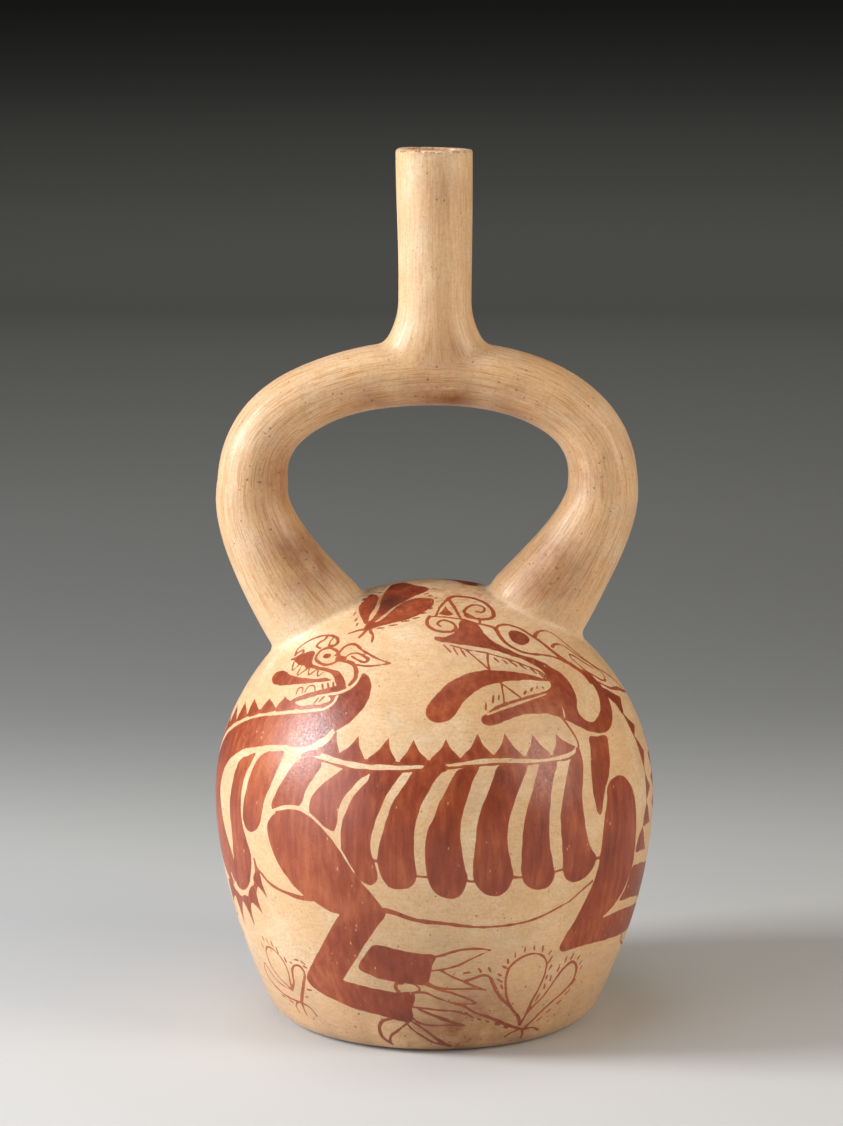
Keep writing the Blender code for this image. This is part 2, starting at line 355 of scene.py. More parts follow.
# Triangles over the tube's map, run along by angle times a mean radius, between the two legs' rings and
# round the hole under the spout.
def loopSkin(loop, rings, spoutRing, inset, spacing):
    f, mean = clayForm, clayForm["tubeMean"]
    fine = spacing < f["fineSpacing"]
    (angle, leftRun, _), (_, rightRun, _) = rings
    runs = np.arange(leftRun.min(), rightRun.max(), spacing)
    count = max(12, round(2 * math.pi * mean / spacing))
    rows = [(run, roundRow(count, k % 2)) for k, run in enumerate(runs)]
    plain = np.concatenate([np.stack([np.full(len(turn), run), turn * mean], 1) for run, turn in rows])
    leftEnd = np.interp(plain[:, 1] / mean, angle, leftRun)
    rightEnd = np.interp(plain[:, 1] / mean, angle, rightRun)
    reach = f["softReach"] * f["softMargin"] if fine else 1.5
    hole = np.stack([spoutRing[0], spoutRing[1] * mean], 1)
    clear = (plain[:, 0] > leftEnd + reach) & (plain[:, 0] < rightEnd - reach)
    clear &= (ringGap(hole, plain) > reach) & ~insideRing(hole, plain)
    plain = plain[clear]
    left, right = (np.stack([ends, angle * mean], 1) for ends in (leftRun, rightRun))
    count = len(angle)
    chain = np.stack([np.arange(count - 1), np.arange(1, count)], 1)
    extra = [left, right, hole]
    edges = [chain, chain + count, closedEdges(2 * count, len(hole))]
    for gap in f["softRows"] if fine else ():
        extra += [left + [gap, 0], right - [gap, 0], hole + ringNormals(hole) * gap]
    flat, faces = triangles(np.concatenate(extra + [plain]), np.concatenate(edges))
    middle = flat[faces].mean(1)
    keep = ~insideRing(hole, middle)
    keep &= middle[:, 0] > np.interp(middle[:, 1] / mean, angle, leftRun)
    keep &= middle[:, 0] < np.interp(middle[:, 1] / mean, angle, rightRun)
    turn = flat[:, 1] / mean
    solid = loop.at(flat[:, 0], turn, inset)
    return flat[:, 0], turn, solid, faces[keep]


# Run, angle and height at which the spout or its bore meets the tube, one for each side of the spout.
def spoutRingOn(loop, point, inset):
    turn = np.linspace(0, 2 * math.pi, clayForm["spoutSides"], endpoint=False)
    low = np.zeros(len(turn)) + clayForm["archRadius"] * 0.1
    high = np.full(len(turn), 20.0)
    above = bisect(lambda h: loop.nearest(point(turn, h), inset)[2] < 1, low, high)
    run, angle, _ = loop.nearest(point(turn, above), inset)
    return run, angle, above, turn


# Quads from the outer ring up the spout, over the rounded lip and down the bore to the inner ring.
def spoutSkin(loop, outer, inner):
    f = clayForm
    straight = f["spoutRise"] - f["lipRound"]
    turn = outer[3]
    mouth = f["spoutRadius"] - f["spoutWall"]
    shares = np.linspace(0, 1, f["spoutRows"])**f["spoutCrowding"]
    rows = [spoutPoint(turn, outer[2] + (straight - outer[2]) * share) for share in shares]
    quarter = math.pi / 2
    lip = []                                    # (radius, depth, height) of the lip's rings
    for corner in np.linspace(0.12, 1, 7) * quarter:
        r = f["spoutRadius"] - f["lipRound"] * (1 - math.cos(corner))
        lip.append((r, r - 0.1, rimTop - f["lipRound"] * (1 - math.sin(corner))))
    for share in (0.35, 0.7):
        r = (f["spoutRadius"] - f["lipRound"]) * (1 - share) + (mouth + f["lipInner"]) * share
        lip.append((r, r, rimTop))
    for corner in np.linspace(0, 1, 4) * quarter:
        r = mouth + f["lipInner"] * (1 - math.sin(corner))
        lip.append((r, r, rimTop - f["lipInner"] * (1 - math.cos(corner))))
    outside = len(rows)
    rows += [np.stack([r * np.cos(turn), d * np.sin(turn), np.full(len(turn), h)], 1) for r, d, h in lip]
    for share in np.linspace(0.03, 1, 20):
        rows.append(borePoint(turn, (f["spoutRise"] - f["lipInner"]) * (1 - share) + inner[2] * share))
    rows[0] = loop.at(outer[0], outer[1], 0.0)
    rows[-1] = loop.at(inner[0], inner[1], f["tubeWall"])
    count = len(turn)
    k = np.arange(count)
    quads = [np.stack([i * count + k, i * count + (k + 1) % count, (i + 1) * count + (k + 1) % count,
                       (i + 1) * count + k], 1) for i in range(len(rows) - 1)]
    onLip = np.zeros(len(rows))
    onLip[outside:outside + len(lip)] = 1
    return np.concatenate(rows), np.concatenate(quads), np.repeat(onLip, count), np.tile(turn, len(rows))


loop = Loop()
outerWall = Wall(0.0)
innerWall = Wall(clayForm["bodyWall"])
print("forms worked out")

outerLegs = [legRing(loop, outerWall, 0.0, side) for side in (-1, 1)]
innerLegs = [legRing(loop, innerWall, clayForm["tubeWall"], side) for side in (-1, 1)]
outerSpout = spoutRingOn(loop, spoutPoint, 0.0)
innerSpout = spoutRingOn(loop, borePoint, clayForm["tubeWall"])


# Gathers the skins of the one piece: points, faces, and what each point knows about itself.
class Clay:
    def __init__(self):
        self.points, self.faces, self.finish, self.count = [], [], [], 0
        self.grain, self.lip, self.inside = [], [], []

    def add(self, points, faces, finish, grain, lip=0.0, flip=False, inside=0.0):
        faces = [tuple(row) for row in (faces[:, ::-1] if flip else faces) + self.count]
        self.points.append(points)
        self.faces += faces
        self.finish.append(np.broadcast_to(finish, len(faces)))
        self.grain.append(grain)
        self.lip.append(np.broadcast_to(lip, len(points)))
        self.inside.append(np.broadcast_to(inside, len(points)))
        self.count += len(points)


# A fan that closes the small ring round a pole.
def capSkin(wall, top):
    end = -1 if top else 0
    spacing = clayForm["wallSpacing"] if wall.inset == 0 else clayForm["innerSpacing"]
    count = max(16, round(2 * math.pi * wall.radius[end] / spacing))
    ring = wall.at(roundRow(count, False)[:-1], np.full(count, wall.up[end]))
    middle = np.array([[0, 0, ring[0, 2]]])
    k = np.arange(count)
    faces = np.stack([k, (k + 1) % count, np.full(count, count)], 1)
    return np.concatenate([ring, middle]), faces if top else faces[:, ::-1]


# The pebble went round the body: patterns change slowly round it and quickly up it.
def wallGrain(points):
    return points * [0.12, 0.12, 1.0]


# The pebble went along the tube: patterns change slowly along it and quickly round it.
def tubeGrain(run, turn):
    mean = clayForm["tubeMean"]
    return np.stack([mean * np.cos(turn), mean * np.sin(turn), run * 0.05], 1)


# Brushwork, in mm
paintwork = {
    "cell": 0.42,               # step of the grid that the painted edges are traced on
    "lowest": 5.0,              # how far up the wall from the edge of the base painting may start
    "highest": 190.5,
    "margin": 1.6,              # how far from an edge its distance is kept
    "wobble": 0.09,             # how far the hand strays
    "clear": 0.45,              # plain mesh points nearer to an edge than this are dropped
    "clearOfLegs": 1.0,         # bare slip left round each leg's joint
    "dash": 0.40,               # half width of a dash
    "finest": 0.29,             # half width of the finest lines
    "hollow": 0.12,             # how far the flanks of a crest's point are drawn in
}


# A smooth curve through flat points: each span is a Hermite cubic, and each tangent is weighted by the
# lengths of the spans beside it.
def smoothPath(points, closed=False, parts=7):
    points = np.asarray(points, float)
    if closed:
        points = np.concatenate([points[-1:], points, points[:2]])
    else:
        points = np.concatenate([2 * points[:1] - points[1:2], points, 2 * points[-1:] - points[-2:-1]])
    span = np.maximum(np.linalg.norm(np.diff(points, axis=0), axis=1), 1e-9)[:, None]
    rate = np.diff(points, axis=0) / span
    tangent = (rate[:-1] * span[1:] + rate[1:] * span[:-1]) / (span[:-1] + span[1:])
    a, b, long = points[1:-2], points[2:-1], span[1:-1]
    t = np.linspace(0, 1, parts, endpoint=False)[None, :, None]
    a, b, long, into, out = (v[:, None] for v in (a, b, long, tangent[:-1], tangent[1:]))
    curve = a * (2 * t**3 - 3 * t**2 + 1) + into * long * (t**3 - 2 * t**2 + t)
    curve = curve + b * (3 * t**2 - 2 * t**3) + out * long * (t**3 - t**2)
    curve = curve.reshape(-1, 2)
    return curve if closed else np.concatenate([curve, points[-2:-1]])


# Paint on one wall's flat map. The field holds, for each crossing of a fine grid, the distance in mm inside
# the nearest painted edge, below 0 on the bare slip. A red shape takes the larger of two distances, and a
# line left in the cream takes the smaller.
class Brush:
    def __init__(self, wall):
        p = paintwork
        self.wall = wall
        lengths = np.arange(wall.edge + p["lowest"], wall.edge + p["highest"], p["cell"])
        self.up = np.interp(lengths, wall.length, wall.up)
        self.scale = np.interp(lengths, wall.length, wall.radius)
        count = round(2 * math.pi * clayForm["girthRadius"] / p["cell"])
        self.across = np.linspace(-math.pi, math.pi, count + 1)
        self.field = np.full((len(self.up), len(self.across)), -p["margin"])

    # Map places of (degrees round from the front, mm up the wall from the edge of the base).
    def place(self, places, turn=0.0):
        degrees, up = np.asarray(places, float).T
        up = np.interp(self.wall.edge + up, self.wall.length, self.wall.up)
        return np.stack([np.radians(degrees + turn), up], 1)

    # Rows and columns of the grid within reach, in mm, of a box on the map.
    def window(self, low, high, reach):
        scale = np.interp(low[1], self.up, self.scale)
        scale = min(scale, np.interp(high[1], self.up, self.scale))
        rows = np.searchsorted(self.up, [low[1] - reach / scale, high[1] + reach / scale])
        columns = np.searchsorted(self.across, [low[0] - reach / scale, high[0] + reach / scale])
        return slice(*rows), slice(*columns)

    # Distance in mm from the grid in a window to one short piece of a line, and the share along it.
    def gap(self, a, b, rows, columns):
        x, y = self.across[columns][None] - a[0], self.up[rows][:, None] - a[1]
        span = b - a
        share = np.clip((x * span[0] + y * span[1]) / max(span @ span, 1e-12), 0, 1)
        return np.hypot(x - share * span[0], y - share * span[1]) * self.scale[rows][:, None], share

    # A path where it is and turned once round each way, if that still touches the map.
    def copies(self, path):
        for shift in (-2 * math.pi, 0, 2 * math.pi):
            moved = path + [shift, 0]
            if moved[:, 0].max() >= -math.pi - 0.1 and moved[:, 0].min() <= math.pi + 0.1:
                yield moved

    # Lays red, or takes it away, where a shape's inside distance says so.
    def lay(self, rows, columns, inside, red):
        part = self.field[rows, columns]
        self.field[rows, columns] = np.maximum(part, inside) if red else np.minimum(part, -inside)

    # One line of the brush, with half widths at even shares of its length.
    def stroke(self, path, widths, red=True):
        reach = max(widths) + paintwork["margin"]
        half = np.interp(np.linspace(0, 1, len(path)), np.linspace(0, 1, len(widths)), widths)
        half = np.maximum(half, paintwork["finest"]) if red else half
        for moved in self.copies(path):
            for a, b, thin, thick in zip(moved[:-1], moved[1:], half[:-1], half[1:]):
                rows, columns = self.window(np.minimum(a, b), np.maximum(a, b), reach)
                gap, share = self.gap(a, b, rows, columns)
                inside = np.clip(thin + (thick - thin) * share - gap, -paintwork["margin"], None)
                self.lay(rows, columns, inside, red)

    # One filled shape inside a closed outline: crossings of each row tell inside from outside.
    def patch(self, path, red=True):
        margin = paintwork["margin"]
        for moved in self.copies(path):
            rows, columns = self.window(moved.min(0), moved.max(0), margin)
            x, y = self.across[columns], self.up[rows]
            gap = np.full((len(y), len(x)), margin)
            crossings = np.zeros((len(y), len(x)), int)
            for a, b in zip(moved, np.roll(moved, -1, axis=0)):
                near, beside = self.window(np.minimum(a, b), np.maximum(a, b), margin)
                near = slice(max(near.start, rows.start), min(near.stop, rows.stop))
                beside = slice(max(beside.start, columns.start), min(beside.stop, columns.stop))
                if near.start < near.stop and beside.start < beside.stop:
                    own = (slice(near.start - rows.start, near.stop - rows.start),
                           slice(beside.start - columns.start, beside.stop - columns.start))
                    gap[own] = np.minimum(gap[own], self.gap(a, b, near, beside)[0])
                spans = (y >= min(a[1], b[1])) & (y < max(a[1], b[1]))
                at = a[0] + (y[spans] - a[1]) * (b[0] - a[0]) / ((b[1] - a[1]) or 1e-12)
                crossings[spans] += x[None] > at[:, None]
            self.lay(rows, columns, np.where(crossings % 2 == 1, gap, -gap), red)

    # Nothing is painted under a leg's joint or close round it.
    def keepOff(self, ring):
        ring = np.stack(self.wall.flat(ring[:-1]), 1)
        rows, columns = self.window(ring.min(0), ring.max(0), paintwork["clearOfLegs"] + 1)
        x, y = np.meshgrid(self.across[columns], self.up[rows])
        points = np.stack([x.ravel(), y.ravel()], 1)
        gap = ringGap(ring, points) * np.interp(points[:, 1], self.up, self.scale)
        inside = (insideRing(ring, points) | (gap < paintwork["clearOfLegs"])).reshape(x.shape)
        self.field[rows, columns][inside] = -paintwork["margin"]

    # The unsteady hand: slow waves of the edge, with whole numbers of them round the body.
    def wander(self):
        chance = np.random.default_rng(11)
        x, y = np.meshgrid(self.across, self.up)
        total = np.zeros_like(x)
        for _ in range(7):
            around, along = int(chance.integers(20, 110)), chance.uniform(-90, 90)
            total += np.sin(around * x + along * y + chance.uniform(0, 6.28))
        self.field += total / 3 * paintwork["wobble"] * (abs(self.field) < paintwork["margin"] * 0.95)
        self.field[:, -1] = self.field[:, 0]

    # Distance inside the paint at any map place, straight between the grid's crossings.
    def at(self, points):
        i = np.interp(points[:, 1], self.up, np.arange(len(self.up)), left=-1, right=-1)
        j = np.interp(points[:, 0], self.across, np.arange(len(self.across)))
        row = np.clip(i.astype(int), 0, len(self.up) - 2)
        column = np.clip(j.astype(int), 0, len(self.across) - 2)
        y, x, f = i - row, j - column, self.field
        value = (f[row, column] * (1 - x) + f[row, column + 1] * x) * (1 - y)
        value += (f[row + 1, column] * (1 - x) + f[row + 1, column + 1] * x) * y
        return np.where(i < 0, -paintwork["margin"], value)

    # The painted edges as points and edges on the map, where the field crosses 0 on a side of a grid cell.
    def contour(self):
        f = self.field
        sign = f > 0
        rows, columns = f.shape
        sides, points, first = [], [], 0
        every, start, end = slice(None), slice(None, -1), slice(1, None)
        for axis, (near, far) in enumerate((((every, start), (every, end)), ((start, every), (end, every)))):
            crossed = sign[near] != sign[far]
            i, j = np.nonzero(crossed)
            a, b = f[near][i, j], f[far][i, j]
            share = np.clip(a / (a - b), 0.06, 0.94)
            number = np.full(crossed.shape, -1)
            number[i, j] = first + np.arange(len(i))
            first += len(i)
            sides.append(number)
            x, y = self.across[j], self.up[i]
            if axis == 0:
                x = x + share * (self.across[j + 1] - x)
            else:
                y = y + share * (self.up[i + 1] - y)
            points.append(np.stack([x, y], 1))
        flat, upright = sides
        cell = np.stack([flat[:-1], upright[:, 1:], flat[1:], upright[:, :-1]], -1).reshape(-1, 4)
        count = (cell >= 0).sum(1)
        two = np.sort(cell[count == 2], axis=1)[:, 2:]
        four = cell[count == 4]
        middle = (f[:-1, :-1] + f[:-1, 1:] + f[1:, :-1] + f[1:, 1:]).ravel()[count == 4]
        together = (middle > 0) == sign[:-1, :-1].ravel()[count == 4]
        pairs = np.where(together[:, None], four, np.roll(four, 1, axis=1))
        return np.concatenate(points), np.concatenate([two, pairs[:, :2], pairs[:, 2:]])


# The painting is a list of steps in the order of the hand. Places are (degrees round from the front, mm up
# the wall from the edge of the base). "fill" is a red shape, "cut" a shape left in the cream, "line" a red
# line and "gap" a line left in the cream, both with half widths in mm, "peaks" red points of a crest, with
# three places for each, and "dashes" short red strokes, with two, which the plainer back goes without.
crestedBeast = [
    # the rib over the rump
    ("fill", [(-38, 107), (-33, 107.5), (-31.5, 106), (-33, 101.5), (-35, 97), (-36, 92.5), (-37, 91),
              (-41, 90.7), (-45.3, 88), (-46, 89.5), (-45, 94), (-43, 99), (-41, 103.5)]),
    ("fill", [(-25, 104.8), (-21.5, 105.3), (-17, 105), (-20, 102), (-22, 99), (-24, 95.5), (-25, 92),
              (-25.2, 88), (-26, 85), (-28, 85.8), (-30.5, 87.5), (-33, 89.5), (-33.5, 92), (-33, 95),
              (-31.5, 98), (-29.3, 100.7), (-27, 103)]),
    ("fill", [(-17, 105), (-13, 105.3), (-8.5, 105.3), (-10, 102.7), (-11.3, 100), (-12.7, 97), (-14, 93),
              (-15.2, 88.5), (-16, 84), (-16, 79.5), (-15, 75.5), (-14.4, 72.5), (-14.8, 70), (-16, 68.5),
              (-18, 69), (-20, 71.3), (-22, 75), (-23.8, 79), (-24, 84), (-23.7, 88.5), (-22.7, 92.5),
              (-21.3, 96.5), (-19.3, 100), (-17.3, 102.7)]),
    ("fill", [(-6, 105.3), (-2, 105.7), (2, 106), (0, 103), (-1.7, 99.5), (-3.2, 96), (-4.3, 92),
              (-5, 87.5), (-5.2, 82), (-5, 77), (-4.6, 72.5), (-5.3, 69.5), (-7, 68), (-9.5, 67.6),
              (-11.7, 68.2), (-13, 70.5), (-14, 73.5), (-14.4, 77), (-13.8, 82), (-13, 86.5), (-12, 91),
              (-10.8, 95.5), (-9, 99.3), (-7.3, 102.5)]),
    ("fill", [(6, 106.3), (8.5, 106.7), (11.5, 107), (10, 103.3), (9, 100), (8, 97), (7, 93), (6.3, 88.5),
              (6.3, 84), (6.8, 79), (7.5, 74.5), (8, 71.5), (7.5, 68.5), (6.5, 66), (4.3, 64.6), (2.3, 65),
              (0, 66.7), (-1.3, 69.5), (-2, 73), (-2.4, 78), (-2.4, 83), (-1.7, 87.5), (-0.3, 91.5),
              (1, 95.7), (2.7, 100), (4.3, 103.3)]),
    ("fill", [(17, 107), (21, 107), (25, 106.3), (23.8, 103), (22.3, 100), (21, 97), (19.8, 93.5),
              (18.6, 89.5), (18.2, 85), (18.3, 81), (19, 76.5), (19.8, 72), (19.3, 68.5), (18, 66),
              (16, 64.8), (13.5, 65.2), (11.3, 67.3), (9.8, 70), (9.4, 74), (9.6, 79), (10, 84), (10.5, 89),
              (11.5, 93.5), (13, 97.7), (14.7, 102)]),
    ("fill", [(28.5, 106), (31, 106), (34, 106), (32.3, 101.5), (31, 97), (30.2, 92.5), (29.7, 87.5),
              (29.7, 82), (30.3, 77), (31.2, 73), (31.8, 70), (31.2, 67.3), (29.5, 65.6), (27, 65.4),
              (24.5, 66.5), (22.7, 69), (22, 72.5), (21.9, 77), (22.1, 82), (22.4, 86.5), (23.2, 91),
              (24.5, 95.5), (26, 99.5), (27.3, 103)]),
    ("fill", [(39, 106.3), (40.7, 107.5), (42.5, 109.7), (43, 105.5), (42.3, 101), (41.2, 97), (40.6, 92.5),
              (40.9, 87), (41.7, 81), (43.3, 76.5), (45.7, 72.3), (45, 69.7), (43.3, 67.5), (41, 66.2),
              (38.3, 65.8), (36, 67), (34.6, 69.5), (34, 74), (33.6, 79), (33.2, 84), (33.2, 89),
              (34.2, 94), (35.5, 98.5), (37, 102.7)]),
    ("line", [(-34, 107.3), (-31, 106.9), (-28.6, 106.5), (-25.8, 106), (-22, 105.6), (-17, 105.3),
              (-10, 105.6), (-3, 106.3), (3, 106.8), (9, 107.3), (17, 107.5), (25, 106.7), (34, 106.5),
              (39, 106.8), (41.5, 108), (42.8, 110), (42.8, 112.5), (42, 115.3), (41, 118), (40, 120.3)],
     [0.35, 0.4, 0.45, 0.5, 0.4, 0.35, 0.35, 0.35, 0.5]),  # back line and chin
    ("line", [(-38, 107.7), (-35.5, 108.8), (-33, 109.3)], [0.8, 1.1, 1]),
    ("line", [(-33, 110.3), (-31, 110.2), (-27, 109.2), (-19, 108.2), (-10, 108), (-2, 108.6), (0.5, 108),
              (5, 109), (12, 109.8), (20, 109.8), (25, 108.8), (33, 108.2), (41, 109.2)],
     [0.9, 0.9, 0.8, 0.7, 0.9, 0.9, 0.6, 0.5, 0.5, 0.4]),
    ("line", [(-1.9, 106.9), (2.1, 107.1)], [1.5, 1.5]),
    ("peaks", [(-33, 110), (-28.9, 117.6), (-26.7, 109.8), (-26.8, 109.5), (-21.9, 116), (-19, 108.7),
               (-18.3, 108.7), (-13, 116.3), (-10.5, 108.7), (-9.5, 108.5), (-6, 116.2), (-2, 109),
               (-1.3, 109.3), (3, 116.2), (6.7, 109.7), (7, 109.8), (12, 117.6), (15.6, 110.1), (16, 110.1),
               (20, 117.3), (24, 109.2), (25, 109), (28.3, 116.3), (32.7, 108.7), (33.5, 108.8),
               (36, 115.3), (42, 109.4)]),
    ("gap", [(-32.3, 108.1), (-30, 108), (-27.5, 107.5), (-24.4, 106.9), (-21.5, 106.4), (-18, 106.5),
             (-14, 107), (-8, 107), (-2.9, 107.4)], [0.15, 0.45, 0.6, 0.65, 0.65, 0.6, 0.4, 0.2]),
    ("gap", [(2.9, 107.9), (5, 107.9), (9, 108.6), (12.5, 108.9), (16.5, 108.7), (20, 108.7), (24, 107.9),
             (28, 107.3), (33, 107.3), (37, 107.6), (40, 108.2), (41.5, 109.5)],
     [0.2, 0.4, 0.5, 0.5, 0.4, 0.35, 0.5, 0.45, 0.3]),
    ("line", [(-16, 77), (-14, 76.6)], [0.4, 0.4]),  # links that close the slits between ribs
    ("line", [(-5, 72.3), (-2, 72)], [0.35, 0.35]),
    ("line", [(7, 71.3), (8.6, 70.4), (10.2, 70.2)], [0.4, 0.4]),
    ("line", [(19, 71), (20.7, 70.6), (22.4, 70.4)], [0.4, 0.4]),
    ("line", [(31, 70.6), (34.7, 71.2)], [0.4, 0.4]),
    ("line", [(44, 72.4), (47, 72.2)], [0.5, 0.5]),
    ("line", [(-13, 60), (-10, 59.2), (-7, 57.7), (-3, 56.6), (3, 55.8), (7, 55), (11, 54.3), (16, 54.1),
              (22, 54.3), (26, 54.9), (30, 56.1), (34, 57.8), (38, 59.6), (41, 62), (45, 64.6)],
     [0.9, 0.75, 0.7, 0.5, 0.35, 0.45, 0.35, 0.3, 0.4]),  # belly
    ("fill", [(-46, 86), (-43.5, 88.5), (-40, 90), (-36, 90), (-33, 88.7), (-30.5, 86.8), (-28, 84.3),
              (-26, 81.7), (-24, 78.5), (-22, 75), (-20, 71.3), (-18, 68.3), (-15.5, 64.5), (-13.7, 61.3),
              (-12.8, 59.3), (-15, 54.5), (-18.3, 48.5), (-21.7, 42), (-24.7, 37), (-26.8, 33.3),
              (-27.1, 32.7), (-26.6, 32.4), (-21.5, 31.4), (-18, 30.6), (-14, 30), (-11, 29.5),
              (-6.4, 29.7), (-6, 29), (-6.8, 23.5), (-7, 18.5), (-7.4, 18), (-11, 18.2), (-14, 19),
              (-17.5, 20), (-22, 20.7), (-27, 22), (-31, 23.5), (-35, 25), (-38, 26.7), (-40, 28.5),
              (-40.5, 30.7), (-38.5, 34.5), (-36, 38.5), (-33, 43.5), (-30.5, 48), (-28, 52.5),
              (-25.9, 56.4), (-25.4, 57.2), (-26.2, 57.4), (-29, 58.3), (-32, 60.3), (-35.5, 62), (-38, 64),
              (-41, 67.5), (-43.5, 71), (-45.5, 75.2), (-47, 80), (-47.2, 83.5)]),  # hind leg
    ("gap", [(-48, 86), (-45, 88.5), (-42, 90), (-38.5, 90.8), (-35.5, 90.5), (-33, 89.3), (-30.5, 87.3),
             (-28, 85), (-26, 82.6), (-24.2, 79.6), (-22.4, 76), (-20.5, 72.3)],
     [0.3, 0.5, 0.65, 0.65, 0.5, 0.35, 0.45, 0.35, 0.3, 0.12]),
    ("fill", [(-17.2, 46.8), (-16, 47.4), (-14, 47.1), (-10.5, 46.1), (-6, 45.1), (-3, 44.5), (0, 44.1),
              (0.3, 43.5), (-0.5, 41), (-1, 38), (-1.6, 35), (-2, 33.2), (-2.5, 32.8), (-6, 33.1),
              (-9.5, 33.4), (-14, 34.1), (-17, 35), (-20, 36.5), (-21.7, 37.9), (-21.6, 39), (-19.7, 42.7),
              (-18, 45.7)]),  # second paw
    ("line", [(0, 43.6), (1.5, 44), (4, 45.1), (7, 46.1), (10, 46.4), (13, 46.1), (15.2, 45.6)],
     [0.6, 0.5, 0.45, 0.3]),
    ("line", [(15.2, 45.6), (12, 43.8), (9, 42), (7, 40.6), (4, 39.3), (1.5, 38.6), (-1, 38.3)],
     [0.2, 0.3, 0.45, 0.4, 0.3]),
    ("line", [(1.5, 38.5), (4.5, 36.2), (8, 34.1), (11.5, 32), (15, 30.2)], [0.4, 0.4, 0.35]),
    ("line", [(15, 30.2), (11.5, 31), (7.5, 31.1), (4.5, 31.2), (0, 32), (-2, 33)], [0.3, 0.35, 0.4, 0.9]),
    ("line", [(-2, 33), (-0.5, 32), (2, 30.6), (4.5, 29.8), (7.5, 28.4), (10, 27.1), (12.2, 25.4)],
     [0.6, 0.4, 0.45]),
    ("line", [(-8, 29.3), (-4.5, 29.9), (-2, 29.4), (0, 28.2), (2, 27.1), (5, 25.8), (8, 25.2), (12.2, 25)],
     [0.5, 0.4, 0.35, 0.3]),
    ("line", [(-6.5, 24), (-3, 23.6), (0.5, 23), (5, 22.5), (7, 22.1), (9.6, 21.2)],
     [0.35, 0.4, 0.4, 0.65]),
    ("line", [(-4.5, 23), (-1, 21.1), (3, 19.1), (6, 17.6), (9.3, 16.4)], [0.4, 0.7, 0.45]),
    ("line", [(9.3, 16.4), (5, 16.8), (-1, 16.7), (-4, 17.3), (-7, 19.2)], [0.4, 0.35, 0.4]),
    ("line", [(-9, 17.7), (-7, 14.7), (-4, 12.1), (-0.5, 9.5), (5, 7.5)], [0.3, 0.4, 0.5]),
    ("line", [(-7, 18), (-5, 16.5), (-2, 13.6), (0.5, 11.1), (5, 7.5)], [0.4, 0.45, 0.8]),
    ("line", [(-13.3, 19), (-17, 17.2), (-18.1, 14), (-17.6, 11), (-16, 9), (-14.5, 7.3)],
     [0.5, 0.7, 0.6, 0.4]),
    ("line", [(-14.5, 7.3), (-15, 9), (-14.5, 11.4), (-12, 14), (-10, 16.1), (-8.3, 17.7)],
     [0.4, 0.5, 0.4]),
    ("line", [(-9.3, 33.3), (-11, 33.1), (-11.4, 31.5), (-10.6, 29.8)], [0.6, 0.55, 0.7]),
    ("line", [(-8, 33.4), (-5.5, 32.6), (-4.4, 31.2), (-5, 29.9)], [0.3, 0.35]),
    ("fill", [(48, 112.2), (46.8, 108), (45.6, 103), (45, 98.5), (44.8, 94.5), (45.3, 90.5), (46.3, 86.7),
              (46.8, 86.3), (47.4, 86.9), (48.2, 90), (49, 92.7), (50.2, 95.4), (51.8, 98), (53.2, 101.5),
              (54.2, 105), (55, 108.5), (55.2, 110.7), (54.7, 111.1), (51, 111.5)]),  # hidden foreleg
    ("fill", [(50, 91.5), (50.3, 94), (52, 96.3), (55, 97.3), (58.5, 96.7), (61, 94.3), (63, 91),
              (64.1, 87), (64.7, 82), (65, 76), (65, 71), (64.7, 66.5), (63, 61.5), (60.8, 57.5),
              (57.5, 53.8), (54.5, 51.5), (52.2, 50.2), (60, 50.2), (69, 49), (80, 47), (90, 45.3),
              (93, 44), (92.3, 39.5), (90, 38.2), (81, 38), (74, 38.3), (68.5, 39), (61, 39.9),
              (54.5, 40.6), (49, 41.1), (43, 41.2), (37.7, 41.2), (36.9, 42), (38, 46.5), (40, 50.5),
              (41.8, 54.5), (43.5, 59), (45.3, 63.5), (46.5, 68), (47.2, 74), (47.8, 80), (48.7, 86)]),
    ("fill", [(64.5, 64), (69, 64), (76, 62.3), (81.5, 60.6), (82.5, 54.5), (80.5, 49.5), (73, 51.3),
              (66, 53), (59.3, 54.4), (61.7, 57.5), (63, 61)]),
    ("line", [(68.3, 119.5), (69.6, 114.8), (71.2, 109), (72.3, 105), (73.6, 100), (74.1, 95.6), (74, 91),
              (73.6, 86), (72.8, 81.5), (70, 76.2)], [0.35, 0.45, 0.45, 0.45, 0.4]),
    ("peaks", [(66, 125.2), (74.2, 120), (69.6, 114.8), (69.6, 114.8), (76, 109.4), (71.8, 106.8),
               (71.8, 106.8), (77.6, 100), (74, 95.6), (74.1, 92.8), (78.4, 87.8), (73.6, 84.9),
               (73.6, 83.5), (78, 75.6), (70.4, 76.6), (70, 76.1), (74.6, 67.2), (65.5, 69.2)], 0.02),
    ("line", [(69, 39.5), (71, 36), (80, 31.5)], [0.6, 0.4]),
    ("line", [(91, 44.5), (97, 46), (103, 44), (98, 41.5), (92, 41.3)], [0.5, 0.4, 0.35]),
    ("line", [(91, 40.5), (97, 38.5), (103, 35.5), (96, 36.5), (89, 38.5)], [0.4, 0.35, 0.5]),
    ("fill", [(40, 120.4), (42, 118.8), (44.5, 116.6), (47, 114.8), (49.5, 113.3), (52, 112.5), (56, 112),
              (58.5, 112.8), (61.5, 115.5), (64, 119.5), (65.2, 124), (64.6, 128), (63, 131.7), (60.2, 134),
              (60.3, 129), (60.3, 125.5), (59, 122), (57, 119.3), (54.2, 117.4), (51, 116.4), (49, 117.5),
              (47.3, 120), (46, 123), (43, 124)]),  # neck
    ("fill", [(41, 131), (41.8, 133), (42, 136), (44, 139.5), (46, 138), (48.5, 135.5), (49.7, 132.5),
